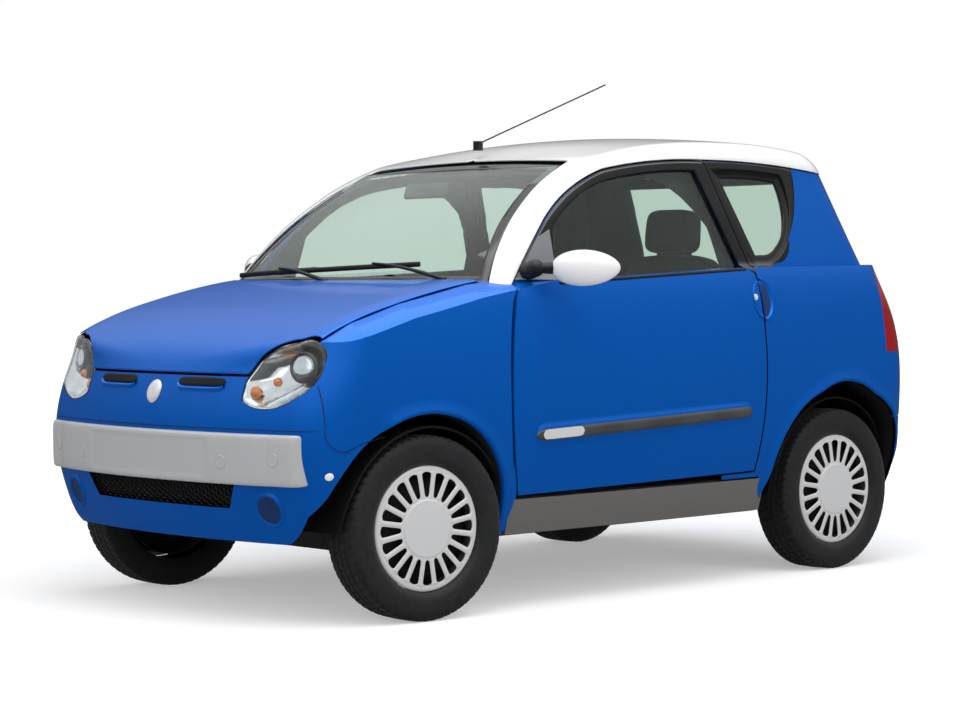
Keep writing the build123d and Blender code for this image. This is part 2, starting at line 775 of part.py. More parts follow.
# Seats: cushion, backrest and headrest in one soft solid each, on the floor
seat_x = 285
seat_half = 225
seat_front_y = wheel_y + 90
seat_profile = [
    (seat_front_y + 40, cabin_floor_top + seat_gap),
    (seat_front_y, 330),
    (seat_front_y + 10, 455, seat_front_y + 60, 462),
    (seat_front_y + 360, 435),
    (seat_front_y + 440, 640, seat_front_y + 520, 1010),
    (seat_front_y + 590, 1050, seat_front_y + 630, 1000),
    (seat_front_y + 560, 640, seat_front_y + 500, 400),
    (seat_front_y + 470, cabin_floor_top + seat_gap),
]
seat = side_prism(seat_profile, seat_x - seat_half, seat_x + seat_half)
seat -= block(seat_x - 120, seat_x + 120, seat_front_y + 80, seat_front_y + 420, 0, 330)
headrest = Pos(seat_x, seat_front_y + 550, 1122) * Rot(-6, 0, 0) * fillet(Box(220, 84, 150).edges(), 30)
headrest += Pos(seat_x, seat_front_y + 556, 1035) * Box(60, 24, 60)
seat = one_solid(seat + headrest)

# Inside mirror, on a stalk from the windscreen
inside_mirror_x = -40
inside_mirror_y = front_axle_y + 624
inside_mirror_z = 1252
mirror_tilt = -20
mirror_place = Pos(inside_mirror_x, inside_mirror_y, inside_mirror_z) * Rot(mirror_tilt, 0, 0)
inside_mirror = mirror_place * fillet(Box(200, 18, 50).edges(), 8)
mirror_stalk = mirror_place * Pos(0, -30, 0) * Rot(90, 0, 0) * Cylinder(8, 60)
pane_room = upper_plan(glass_setback + glass_thickness + 2)
inside_mirror = one_solid(inside_mirror + (mirror_stalk & pane_room))

# Door mirrors: an egg-shaped housing on a ball and a short base
mirror_ball = (680, front_axle_y + 414, 1004)
ball_radius = 26
mirror_sweep = 45
egg_reach = 250
neck_length = 43
neck_radius = 13
egg_radius = 59
ball_flat = 18
egg = revolve(closed_face([
    (-ball_flat, 0),
    (-ball_flat, sqrt(ball_radius ** 2 - ball_flat ** 2)),
    (-12, sqrt(ball_radius ** 2 - 12 ** 2), 0, ball_radius),
    (12, 18, 20, neck_radius),
    (neck_length, neck_radius),
    (neck_length + 4, 30),
    (neck_length + 40, 51, neck_length + 110, egg_radius),
    (neck_length + 184, 45, egg_reach, 10),
    (egg_reach, 0),
]), Axis.X)
base_length = 45
base_lean = 14
mirror_base = Pos(*mirror_ball) * Rot(0, 90 - base_lean, 0) * Pos(0, 0, -base_length / 2) * Cylinder(
    ball_radius, base_length)
door_mirror = one_solid(mirror_base + Pos(*mirror_ball) * Rot(0, 0, mirror_sweep) * egg)

# Roof aerial
aerial_y = front_axle_y + 812
aerial_z = 1402
aerial_tip_z = 1625
aerial_reach = 587
aerial_radius = 2.5
aerial_foot = Pos(0, aerial_y, aerial_z) * Cylinder(16, 30)
aerial_start = (0, aerial_y, aerial_z + 6)
aerial_end = (0, aerial_y + aerial_reach, aerial_tip_z)
aerial_plane = Plane(origin=aerial_start, z_dir=(Vector(*aerial_end) - Vector(*aerial_start)).normalized())
aerial_rod = extrude(aerial_plane * Circle(aerial_radius), (Vector(*aerial_end) - Vector(*aerial_start)).length)
aerial = one_solid((aerial_foot + aerial_rod) - crown_outer)


def front_wheel(shape):
    """A wheel piece on the left front hub, at the angle at which the car stands."""
    return turned(Pos(track_front / 2, front_axle_y, tyre_radius) * shape, 1)


def front_wheel_right(shape):
    """The same piece on the right front hub."""
    return turned(mirrored(Pos(track_front / 2, front_axle_y, tyre_radius) * shape), -1)


def rear_wheel(shape):
    """A wheel piece on the left rear hub."""
    return Pos(track_rear / 2, rear_axle_y, tyre_radius) * shape


parts = {
    "bonnet": bonnet,
    "front_fascia": fascia,
    "front_bumper": bumper,
    "lower_grille": grille,
    "wing_left": wing,
    "wing_right": mirrored(wing),
    "sills": pair(sill),
    "door_left": door_panel,
    "door_right": mirrored(door_panel),
    "door_glass_left": door_pane,
    "door_glass_right": mirrored(door_pane),
    "quarter_left": quarter,
    "quarter_right": mirrored(quarter),
    "quarter_glass": pair(quarter_pane),
    "roof": roof,
    "windscreen": screen,
    "tailgate": tailgate,
    "tailgate_glass": tail_pane,
    "rear_bumper": rear_bumper,
    "headlamps": pair(lamp),
    "tail_lamps": pair(tail_lamp),
    "cowl": cowl,
    "underbody": underbody,
    "engine": engine,
    "front_axle": front_axle,
    "rear_axle": rear_axle,
    "dashboard": dashboard,
    "steering_wheel": steering_wheel,
    "seats": pair(seat),
    "inside_mirror": inside_mirror,
    "door_mirror_left": door_mirror,
    "door_mirror_right": mirrored(door_mirror),
    "aerial": aerial,
    "knuckle_left": turned(knuckle, 1),
    "knuckle_right": turned(mirrored(knuckle), -1),
    "rim_front_left": front_wheel(rim),
    "rim_front_right": front_wheel_right(rim),
    "rim_rear_left": rear_wheel(rim),
    "rim_rear_right": mirrored(rear_wheel(rim)),
    "tyre_front_left": front_wheel(tyre),
    "tyre_front_right": front_wheel_right(tyre),
    "tyre_rear_left": rear_wheel(tyre),
    "tyre_rear_right": mirrored(rear_wheel(tyre)),
}

os.makedirs("parts", exist_ok=True)
for node, shape in parts.items():
    export_step(shape, f"parts/{node}.step")
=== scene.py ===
import math
import bmesh
import bpy
import numpy as np
from mathutils import Matrix, Vector


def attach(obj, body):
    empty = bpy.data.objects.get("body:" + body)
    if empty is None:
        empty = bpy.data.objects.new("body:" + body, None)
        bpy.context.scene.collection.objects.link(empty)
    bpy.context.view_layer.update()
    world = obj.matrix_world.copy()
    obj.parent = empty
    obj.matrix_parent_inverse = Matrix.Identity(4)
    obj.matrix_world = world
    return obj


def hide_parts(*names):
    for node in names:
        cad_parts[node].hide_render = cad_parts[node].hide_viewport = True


# Two-seat microcar: metres, front towards -Y, the car's own left side towards +X
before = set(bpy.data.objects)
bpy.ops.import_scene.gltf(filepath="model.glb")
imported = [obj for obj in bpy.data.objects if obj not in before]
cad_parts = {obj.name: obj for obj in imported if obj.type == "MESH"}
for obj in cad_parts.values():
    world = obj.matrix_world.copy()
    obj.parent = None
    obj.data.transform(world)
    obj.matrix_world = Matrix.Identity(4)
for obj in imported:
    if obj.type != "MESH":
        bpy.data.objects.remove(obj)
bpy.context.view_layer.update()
print("frame loaded")


def linearColour(hexText):
    # each channel: ((c + 0.055) / 1.055) to the power 2.4 above 0.04045, else c / 12.92
    channels = [int(hexText[i:i + 2], 16) / 255 for i in (1, 3, 5)]
    return (*[((c + 0.055) / 1.055) ** 2.4 if c > 0.04045 else c / 12.92 for c in channels], 1)


def addNode(tree, kind, inputs=None, **settings):
    # a shader node with its settings, its plain input values and its links from other nodes' sockets
    node = tree.nodes.new(kind)
    for name, value in settings.items():
        setattr(node, name, value)
    for name, value in (inputs or {}).items():
        if isinstance(value, bpy.types.NodeSocket):
            tree.links.new(value, node.inputs[name])
        else:
            node.inputs[name].default_value = value
    return node


def noiseScale(millimetres):
    # a noise or cell texture has scale cells in a metre: 1000 over the size in millimetres
    return 1000 / millimetres


def bandScale(millimetres):
    # a band texture repeats every pi / 10 over its scale: 100 pi over the spacing in millimetres
    return 100 * math.pi / millimetres


def newMaterial(name, inputs, slotName=None):
    # a plain surface shader with these inputs; slotName is the colour slot its pieces belong to
    material = bpy.data.materials.new(name)
    material.use_nodes = True
    tree = material.node_tree
    tree.nodes.clear()
    shader = addNode(tree, "ShaderNodeBsdfPrincipled", inputs)
    output = addNode(tree, "ShaderNodeOutputMaterial", {"Surface": shader.outputs[0]})
    place = addNode(tree, "ShaderNodeTexCoord").outputs["Object"]
    material["finish"] = slotName or ""
    return material, tree, shader, place, output


def addBump(tree, shader, height, strength, distance):
    # tilts the shading by a height pattern that is distance metres deep at strength 1
    bump = addNode(tree, "ShaderNodeBump", {"Height": height, "Strength": strength, "Distance": distance})
    tree.links.new(bump.outputs[0], shader.inputs["Normal"])
    return bump


def tintByNoise(tree, shader, noise, dark, light, low=0.3, high=0.7):
    # the base colour runs from dark to light as the noise runs from low to high
    ramp = addNode(tree, "ShaderNodeValToRGB", {"Fac": noise})
    ramp.color_ramp.elements[0].position = low
    ramp.color_ramp.elements[0].color = linearColour(dark)
    ramp.color_ramp.elements[1].position = high
    ramp.color_ramp.elements[1].color = linearColour(light)
    tree.links.new(ramp.outputs[0], shader.inputs["Base Color"])


def roughenByNoise(tree, shader, noise, low, high):
    # roughness runs from low to high with the noise
    spread = addNode(tree, "ShaderNodeMapRange", {"Value": noise, "To Min": low, "To Max": high})
    tree.links.new(spread.outputs[0], shader.inputs["Roughness"])


def lacquerBlue():
    # two-coat metallic lacquer, sprayed and polished: a fine sparkle under a clear, mirror-like coat
    # flakes are 0.05 mm, drawn at 1.1 mm so that they show; the peel of the clear coat is 6 mm
    material, tree, shader, place, _ = newMaterial("blueMetallicLacquerPolished", {
        "Metallic": 0.5, "Roughness": 0.36, "Specular IOR Level": 0.15, "Coat Weight": 0.35,
        "Coat Roughness": 0.03, "Coat IOR": 1.5}, "body_blue")
    flakes = addNode(tree, "ShaderNodeTexVoronoi", {"Vector": place, "Scale": noiseScale(1.1)})
    tone = addNode(tree, "ShaderNodeSeparateColor", {"Color": flakes.outputs["Color"]})
    tintByNoise(tree, shader, tone.outputs[0], "#0062c6", "#006ee0", 0.0, 1.0)
    # panel backs, which face the car's middle, carry dark trim: where the normal's share of the way out
    # from the middle falls below zero
    away = addNode(tree, "ShaderNodeVectorMath", {0: place, 1: (0.0, 0.2, 0.75)}, operation="SUBTRACT")
    normal = addNode(tree, "ShaderNodeTexCoord").outputs["Normal"]
    facing = addNode(tree, "ShaderNodeVectorMath", {0: away.outputs[0], 1: normal}, operation="DOT_PRODUCT")
    back = addNode(tree, "ShaderNodeMapRange", {"Value": facing.outputs["Value"], "From Min": -0.05,
                                                "From Max": -0.12})
    paint = shader.inputs["Base Color"].links[0].from_socket
    trimmed = addNode(tree, "ShaderNodeMix", {0: back.outputs[0], 6: paint, 7: linearColour("#101113")},
                      data_type="RGBA")
    tree.links.new(trimmed.outputs[2], shader.inputs["Base Color"])
    peel = addNode(tree, "ShaderNodeTexNoise", {"Vector": place, "Scale": noiseScale(6), "Detail": 1.0})
    addBump(tree, shader, peel.outputs[0], 0.02, 0.0002)
    return material


def lacquerWhite():
    # white lacquer on moulded plastic, sprayed: even, with a clear gloss and a faint peel
    material, tree, shader, place, _ = newMaterial("whiteLacquerSprayed", {
        "Roughness": 0.32, "Coat Weight": 0.8, "Coat Roughness": 0.05}, "roof_white")
    peel = addNode(tree, "ShaderNodeTexNoise", {"Vector": place, "Scale": noiseScale(6.25), "Detail": 1.0})
    tintByNoise(tree, shader, peel.outputs[0], "#ececed", "#f2f2f3")
    addBump(tree, shader, peel.outputs[0], 0.03, 0.0002)
    return material


def paintSilver(name, dark, light, slotName, rough, metallic, grain=1.6):
    # silver or grey paint on moulded plastic: a soft, slightly grainy metal look without sharp reflections;
    # the metal grains are 0.1 mm, drawn at 1.6 mm so that they show
    material, tree, shader, place, _ = newMaterial(name, {"Metallic": metallic, "Coat Weight": 0.25,
                                                         "Coat Roughness": 0.2}, slotName)
    noise = addNode(tree, "ShaderNodeTexNoise", {"Vector": place, "Scale": noiseScale(grain), "Detail": 2.0})
    tintByNoise(tree, shader, noise.outputs[0], dark, light)
    roughenByNoise(tree, shader, noise.outputs[0], rough - 0.04, rough + 0.06)
    addBump(tree, shader, noise.outputs[0], 0.05, 0.0002)
    return material


def plasticMoulded(name, dark, light, slotName, rough=0.5, grain=1.3, depth=0.25, coat=0.0):
    # moulded plastic with a fine leather-like grain, in mm, that scatters highlights; undercoat, felt and
    # castings are built the same way with a coarser or deeper grain
    inputs = {"Coat Weight": coat, "Coat Roughness": 0.08}
    material, tree, shader, place, _ = newMaterial(name, inputs, slotName)
    noise = addNode(tree, "ShaderNodeTexNoise", {"Vector": place, "Scale": noiseScale(grain), "Detail": 3.0})
    broad = addNode(tree, "ShaderNodeTexNoise", {"Vector": place, "Scale": noiseScale(111), "Detail": 2.0})
    tintByNoise(tree, shader, broad.outputs[0], dark, light)
    roughenByNoise(tree, shader, broad.outputs[0], rough - 0.06, rough + 0.06)
    addBump(tree, shader, noise.outputs[0], depth, 0.0003)
    return material


def glassSafety(name, tint, slotName, ior):
    # laminated or toughened safety glass, float made: clear with a faint green cast and a slow waviness;
    # shadow rays pass straight through, so the cabin stays lit
    inputs = {"Base Color": linearColour(tint), "Roughness": 0.0, "Transmission Weight": 1.0, "IOR": ior}
    material, tree, shader, place, output = newMaterial(name, inputs, slotName)
    wave = addNode(tree, "ShaderNodeTexNoise", {"Vector": place, "Scale": noiseScale(333), "Detail": 1.0})
    addBump(tree, shader, wave.outputs[0], 0.02, 0.001)
    clear = addNode(tree, "ShaderNodeBsdfTransparent", {"Color": linearColour(tint)})
    path = addNode(tree, "ShaderNodeLightPath")
    mixed = addNode(tree, "ShaderNodeMixShader", {0: path.outputs["Is Shadow Ray"], 1: shader.outputs[0],
                                                  2: clear.outputs[0]})
    tree.links.new(mixed.outputs[0], output.inputs["Surface"])
    return material


def rubberTyre():
    # moulded tyre rubber: near black, dull, with a slight bloom that greys it in random patches
    material, tree, shader, place, _ = newMaterial("tyreRubberMoulded", {"Sheen Weight": 0.08,
                                                   "Sheen Roughness": 0.5}, "tyre_rubber")
    noise = addNode(tree, "ShaderNodeTexNoise", {"Vector": place, "Scale": noiseScale(16.7), "Detail": 4.0})
    tintByNoise(tree, shader, noise.outputs[0], "#17181a", "#242527")
    roughenByNoise(tree, shader, noise.outputs[0], 0.55, 0.72)
    fine = addNode(tree, "ShaderNodeTexNoise", {"Vector": place, "Scale": noiseScale(1.11), "Detail": 2.0})
    addBump(tree, shader, fine.outputs[0], 0.2, 0.0003)
    return material


def metalChrome():
    # vapour-deposited aluminium under clear lacquer: a bright mirror for the lamps
    material, tree, shader, place, _ = newMaterial("aluminiumVapourMirror", {"Metallic": 1.0}, "lamp_clear")
    noise = addNode(tree, "ShaderNodeTexNoise", {"Vector": place, "Scale": noiseScale(33.3), "Detail": 2.0})
    tintByNoise(tree, shader, noise.outputs[0], "#d3d6d8", "#e6e8ea")
    roughenByNoise(tree, shader, noise.outputs[0], 0.08, 0.16)
    return material


def fabricSeat():
    # woven polyester upholstery: threads 1.2 mm apart, drawn at 6.3 mm so that they show, with a soft sheen
    material, tree, shader, place, _ = newMaterial("polyesterUpholsteryWoven", {
        "Roughness": 0.85, "Sheen Weight": 0.15, "Sheen Roughness": 0.4}, "seat_fabric")
    threads = {"Vector": place, "Scale": bandScale(6.2832), "Distortion": 0.4}
    across = addNode(tree, "ShaderNodeTexWave", threads, bands_direction="X")
    along = addNode(tree, "ShaderNodeTexWave", threads, bands_direction="Z")
    weave = addNode(tree, "ShaderNodeMath", {0: across.outputs[1], 1: along.outputs[1]}, operation="MULTIPLY")
    tintByNoise(tree, shader, weave.outputs[0], "#131416", "#1c1d20", 0.1, 0.9)
    addBump(tree, shader, weave.outputs[0], 0.1, 0.0004)
    return material


def lampRed():
    # dyed PMMA tail-lamp lens, moulded with a fine prism pattern behind a polished face; orange at its top
    material, tree, shader, place, _ = newMaterial("pmmaRedMoulded", {
        "Roughness": 0.12, "Coat Weight": 1.0, "Coat Roughness": 0.02}, "lamp_red")
    height = addNode(tree, "ShaderNodeSeparateXYZ", {"Vector": place})
    lens = {"Value": height.outputs["Z"], "From Min": 0.86, "From Max": 0.93}
    band = addNode(tree, "ShaderNodeMapRange", lens)
    tintByNoise(tree, shader, band.outputs[0], "#9c0f10", "#c8361c", 0.0, 1.0)
    prisms = {"Vector": place, "Scale": bandScale(5.236)}
    ribs = addNode(tree, "ShaderNodeTexWave", prisms, bands_direction="Z")
    addBump(tree, shader, ribs.outputs[1], 0.15, 0.0006)
    return material


def bulbAmber():
    # amber-dyed glass bulb, blown: a warm clear orange with a bright gloss
    material, tree, shader, place, _ = newMaterial("glassAmberBlown", {
        "Roughness": 0.15, "Coat Weight": 1.0, "Coat Roughness": 0.03}, "lamp_clear")
    noise = addNode(tree, "ShaderNodeTexNoise", {"Vector": place, "Scale": noiseScale(14.3), "Detail": 1.0})
    tintByNoise(tree, shader, noise.outputs[0], "#d86a12", "#f0922e")
    return material


blueLacquer = lacquerBlue()
whiteLacquer = lacquerWhite()
bumperSilver = paintSilver("silverPaintSatinPlastic", "#c0c1c2", "#cdcecf", "grey_plastic", 0.40, 0.25)
sillGrey = paintSilver("greyPaintSatinPlastic", "#767472", "#84827f", "grey_plastic", 0.42, 0.30)
coverSilver = paintSilver("silverPaintWheelCover", "#dddede", "#e8e8e9", "silver_cover", 0.32, 0.20)
blackPlastic = plasticMoulded("polypropyleneBlackGrained", "#161718", "#1e1f20", "black_plastic")
blackSmooth = plasticMoulded("absBlackPolished", "#0c0d0e", "#111213", "black_plastic", 0.16, 4,
                             0.03, 0.6)
greyStrip = plasticMoulded("polypropyleneDarkGrey", "#3d3f41", "#494b4d", "black_plastic", 0.45)
sailGrey = plasticMoulded("absGreyPainted", "#75777a", "#808285", "grey_plastic", 0.36, 1.6, 0.08)
dashPlastic = plasticMoulded("polyurethaneDashGrained", "#1b1c1e", "#252628", "black_plastic", 0.6, 2.2,
                             0.08)
underCoat = plasticMoulded("bitumenUndercoatSprayed", "#0c0c0d", "#131314", "black_plastic", 0.75, 4, 0.6)
steelPlain = plasticMoulded("steelPaintedBlack", "#2a2b2c", "#3a3b3c", "steel", 0.45, 2, 0.2)
engineCast = plasticMoulded("aluminiumSandCast", "#55575a", "#6c6e70", "engine_casting", 0.6, 3, 0.5)
windowGlass = glassSafety("safetyGlassFloat", "#d9e8e0", "clear_glass", 1.45)
lampGlass = glassSafety("polycarbonateClearMoulded", "#f4f7f8", "lamp_clear", 1.3)
rubber = rubberTyre()
chrome = metalChrome()
fabric = fabricSeat()
redLens = lampRed()
amberBulb = bulbAmber()
# blue lacquer darkened as painted shade, laid on the floors of the handles' scoops and of the fascia's round
# recesses
handleShade = plasticMoulded("blueLacquerInShade", "#052a5e", "#07336f", "body_blue", 0.4, 4, 0.02, 0.3)
headCloth = plasticMoulded("polyesterHeadliningFelt", "#55575a", "#606265", "seat_fabric", 0.85, 2, 0.5)

# which finish each carried-over node gets
nodeFinish = {}
for finish, names in (
        (blueLacquer, "bonnet front_fascia wing_left wing_right door_left door_right quarter_left "
                      "quarter_right tailgate rear_bumper"),
        (whiteLacquer, "roof door_mirror_left door_mirror_right"),
        (bumperSilver, "front_bumper"),
        (sillGrey, "sills"),
        (blackPlastic, "lower_grille cowl steering_wheel aerial"),
        (blackSmooth, "inside_mirror"),
        (windowGlass, "door_glass_left door_glass_right quarter_glass windscreen tailgate_glass"),
        (lampGlass, "headlamps"),
        (redLens, "tail_lamps"),
        (underCoat, "underbody"),
        (engineCast, "engine"),
        (steelPlain, "front_axle rear_axle knuckle_left knuckle_right"),
        (dashPlastic, "dashboard"),
        (fabric, "seats"),
        (coverSilver, "rim_front_left rim_front_right rim_rear_left rim_rear_right"),
        (rubber, "tyre_front_left tyre_front_right tyre_rear_left tyre_rear_right")):
    nodeFinish.update({name: finish for name in names.split()})
for nodeName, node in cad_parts.items():
    finish = nodeFinish[nodeName]
    if node.material_slots:
        for materialSlot in node.material_slots:
            materialSlot.material = finish
    else:
        node.data.materials.append(finish)
print("materials set")


# The panels' shared surfaces, as tables of plan outlines and cross-sections
forms = {
    # height, front, rear, half width, front and rear corner radius, all in metres
    "lower": np.array([
        (0.190, -1.262, 1.300, 0.668, 0.150, 0.190), (0.330, -1.318, 1.358, 0.704, 0.150, 0.185),
        (0.480, -1.348, 1.367, 0.722, 0.150, 0.172), (0.620, -1.332, 1.362, 0.724, 0.150, 0.150),
        (0.760, -1.284, 1.355, 0.714, 0.155, 0.142), (0.900, -1.262, 1.315, 0.694, 0.180, 0.145),
        (1.010, -1.250, 1.278, 0.664, 0.180, 0.146)]),
    "lowerBows": (2.350, 8.000, 26.000),
    "upper": np.array([
        (0.860, -0.720, 1.300, 0.682, 0.090, 0.090), (0.960, -0.645, 1.252, 0.656, 0.090, 0.090),
        (1.060, -0.553, 1.211, 0.631, 0.090, 0.105), (1.160, -0.438, 1.170, 0.606, 0.096, 0.116),
        (1.260, -0.286, 1.128, 0.580, 0.104, 0.120), (1.357, -0.103, 1.086, 0.556, 0.110, 0.122),
        (1.450, 0.088, 1.046, 0.532, 0.110, 0.120)]),
    "upperBows": (2.300, 4.200, 20.000),
    "middleY": 0.250,
    # station, height at the middle, at the side, corner radius
    "deck": np.array([
        (-1.420, 0.520, 0.500, 0.200), (-1.300, 0.705, 0.690, 0.200), (-1.262, 0.765, 0.750, 0.200),
        (-1.200, 0.812, 0.800, 0.200), (-1.080, 0.868, 0.855, 0.200), (-0.900, 0.920, 0.908, 0.200),
        (-0.640, 0.971, 0.959, 0.190), (-0.300, 0.996, 0.979, 0.120), (0.400, 1.010, 1.000, 0.090),
        (1.420, 1.016, 1.008, 0.090)]),
    "deckHalf": 0.740,
    "roof": np.array([
        (-0.800, 1.130, 1.110, 0.090), (-0.060, 1.350, 1.330, 0.090), (0.120, 1.398, 1.362, 0.090),
        (0.330, 1.424, 1.384, 0.090), (0.560, 1.432, 1.392, 0.090), (0.800, 1.426, 1.386, 0.090),
        (0.980, 1.402, 1.366, 0.090), (1.130, 1.355, 1.330, 0.090), (1.300, 1.270, 1.250, 0.090)]),
    "roofHalf": 0.600,
    # shares of the corner radii, how far the front half is drawn in, and the radii where surfaces meet
    "noseCorner": 0.70, "tailCorner": 0.90, "drawIn": 0.0038, "shoulder": 0.010, "roofEdge": 0.045,
    "foot": 0.012,
}


def smoothColumn(at, rows, column):
    # cubic Hermite curve through a table's column; each inner slope is the mean of its neighbours' slopes
    x, y = rows[:, 0], rows[:, column]
    slope = np.diff(y) / np.diff(x)
    tangent = np.concatenate([slope[:1], (slope[:-1] + slope[1:]) / 2, slope[-1:]])
    at = np.clip(at, x[0], x[-1])
    i = np.clip(np.searchsorted(x, at, side="right") - 1, 0, len(x) - 2)
    h = x[i + 1] - x[i]
    t = (at - x[i]) / h
    return ((2 * t ** 3 - 3 * t ** 2 + 1) * y[i] + (t ** 3 - 2 * t ** 2 + t) * h * tangent[i]
            + (3 * t ** 2 - 2 * t ** 3) * y[i + 1] + (t ** 3 - t ** 2) * h * tangent[i + 1])


def roundMeet(a, b, radius):
    # two distances, negative inside: where both are within a radius of zero, their corner is an arc
    u, v = np.maximum(a + radius, 0), np.maximum(b + radius, 0)
    return np.minimum(np.maximum(a, b), -radius) + np.sqrt(u * u + v * v)


def planGap(x, y, z, rows, bows):
    # how far a point is outside a plan outline at its height: bowed front, side and rear with rounded corners
    front, rear, half, frontCorner, rearCorner = (smoothColumn(z, rows, k) for k in range(1, 6))
    x = np.abs(x)
    middle = forms["middleY"]
    nose = (front + x * x / (2 * bows[0]) - y) / np.sqrt(1 + (x / bows[0]) ** 2)
    drawn = forms["drawIn"] * np.clip((-0.3 - y) / 0.6, 0, 1)
    side = x - half + (y - middle) ** 2 / (2 * bows[2]) + drawn
    tail = (y - rear + x * x / (2 * bows[1])) / np.sqrt(1 + (x / bows[1]) ** 2)
    return np.maximum(roundMeet(nose, side, frontCorner * forms["noseCorner"]),
                      roundMeet(side, tail, rearCorner * forms["tailCorner"]))


def crownGap(x, y, z, rows, half):
    # how far a point is above a section across the car that is a parabola
    middle, side = smoothColumn(y, rows, 1), smoothColumn(y, rows, 2)
    return z - middle + (middle - side) * (x / half) ** 2


def deckSlope(y):
    # rise over run of the deck's middle line, across 20 mm
    return (smoothColumn(y + 0.01, forms["deck"], 1) - smoothColumn(y - 0.01, forms["deck"], 1)) / 0.02


def lowerGap(x, y, z):
    # the lower body: the plan outlines capped by a crowned deck with rounded sides
    deck, half = forms["deck"], forms["deckHalf"]
    top = crownGap(x, y, z, deck, half) / np.sqrt(1 + deckSlope(y) ** 2)
    lid = roundMeet(top, np.abs(x) - half, smoothColumn(y, deck, 3))
    return roundMeet(planGap(x, y, z, forms["lower"], forms["lowerBows"]), lid, forms["shoulder"])


def upperGap(x, y, z):
    # the cab: the plan outlines capped by the crowned roof
    top = crownGap(x, y, z, forms["roof"], forms["roofHalf"])
    return roundMeet(planGap(x, y, z, forms["upper"], forms["upperBows"]), top, forms["roofEdge"])


def bodyGap(x, y, z):
    # the lower body and the cab together, with a small hollow fillet where they meet
    foot = forms["foot"]
    a, b = lowerGap(x, y, z), upperGap(x, y, z)
    u, v = np.maximum(foot - a, 0), np.maximum(foot - b, 0)
    return np.maximum(foot, np.minimum(a, b)) - np.sqrt(u * u + v * v)


def cast(gap, start, heading, reach):
    # the last point of each line that is still inside: halves the interval 40 times
    near, far = np.zeros(heading.shape[:-1]), np.full(heading.shape[:-1], reach)
    for _ in range(40):
        half = (near + far) / 2
        point = start + heading * half[..., None]
        inside = gap(point[..., 0], point[..., 1], point[..., 2]) < 0
        near, far = np.where(inside, half, near), np.where(inside, far, half)
    return start + heading * near[..., None]


def sidePoint(gap, y, z):
    # the surface seen from the car's left
    start = np.stack([np.zeros_like(y), y, z], -1)
    return cast(gap, start, np.broadcast_to(np.array([1.0, 0, 0]), start.shape), 0.9)


def frontPoint(gap, x, z):
    # the surface seen from in front
    start = np.stack([x, np.where(z > 1.0, 0.4, -0.2), z], -1)
    return cast(gap, start, np.broadcast_to(np.array([0, -1.0, 0]), start.shape), 1.4)


def topPoint(gap, x, y):
    # the surface seen from above
    start = np.stack([x, y, np.full_like(x, 0.3)], -1)
    return cast(gap, start, np.broadcast_to(np.array([0, 0, 1.0]), start.shape), 1.4)


def ringPoint(gap, y, angle, centreZ):
    # across the car: lines from (0, centreZ) at an angle above level, at each station y
    start = np.stack([np.zeros_like(y), y, np.full_like(y, centreZ)], -1)
    heading = np.stack([np.cos(angle), np.zeros_like(y), np.sin(angle)], -1)
    return cast(gap, start, heading, 1.4)


def arcPath(points, count=16):
    # an outline of straight steps (two numbers) and arcs (their middle and end), as points close together
    path = [np.array([points[0]])]
    at = np.array(points[0], float)
    for step in points[1:]:
        end = np.array(step[-2:], float)
        t = np.linspace(0, 1, count + 1)[1:, None]
        if len(step) == 2:
            path.append(at + (end - at) * t)
        else:
            middle = np.array(step[:2], float)
            rows = np.array([2 * (middle - at), 2 * (end - at)])
            centre = np.linalg.solve(rows, [middle @ middle - at @ at, end @ end - at @ at])
            a0, am, a1 = (math.atan2(*(p - centre)[::-1]) for p in (at, middle, end))
            turn = (a1 - a0) % (2 * math.pi)
            if (am - a0) % (2 * math.pi) > turn:
                turn -= 2 * math.pi
            angle = a0 + turn * t
            radius = np.linalg.norm(at - centre)
            path.append(centre + radius * np.concatenate([np.cos(angle), np.sin(angle)], 1))
        at = end
    return np.concatenate(path)


def evenPath(path, count, power=1.0):
    # the same path as count points, evenly apart along it
    step = np.concatenate([[0], np.cumsum(np.linalg.norm(np.diff(path, axis=0), axis=1))])
    at = np.linspace(0, 1, count) ** power * step[-1]
    return np.stack([np.interp(at, step, path[:, k]) for k in range(path.shape[1])], -1)


def gridFaces(rows, columns, wrapRows=False, wrapColumns=False, flip=False):
    # quads of a grid of rows by columns points: each point with the next column, next row and both
    i = np.arange(rows if wrapRows else rows - 1)[:, None]
    j = np.arange(columns if wrapColumns else columns - 1)[None, :]
    a = i * columns + j
    b = i * columns + (j + 1) % columns
    c = ((i + 1) % rows) * columns + (j + 1) % columns
    d = ((i + 1) % rows) * columns + j
    faces = np.stack([a, b, c, d], -1).reshape(-1, 4)
    return faces[:, ::-1] if flip else faces


def makePiece(name, points, faces, finish, body, smooth=True, sharpAngle=None):
    # grid points and faces as a mesh object that rides on one body of the car
    mesh = bpy.data.meshes.new(name)
    corners = np.asarray(points, float).reshape(-1, 3).tolist()
    mesh.from_pydata(corners, [], [list(map(int, face)) for face in faces])
    mesh.materials.append(finish)
    mesh.polygons.foreach_set("use_smooth", np.full(len(mesh.polygons), smooth))
    mesh.update()
    piece = bpy.data.objects.new(name, mesh)
    bpy.context.scene.collection.objects.link(piece)
    if sharpAngle:
        mesh.set_sharp_from_angle(angle=math.radians(sharpAngle))
    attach(piece, body)
    return piece


def thicken(piece, thickness, offset=-1.0, rim=0.0015):
    # gives a sheet its wall, inwards, and softens the wall's edges by rim
    solid = piece.modifiers.new("wall", "SOLIDIFY")
    solid.thickness, solid.offset, solid.use_even_offset = thickness, offset, False
    if rim:
        edge = piece.modifiers.new("edge", "BEVEL")
        edge.width, edge.segments, edge.limit_method, edge.angle_limit = rim, 2, "ANGLE", math.radians(50)
    return piece


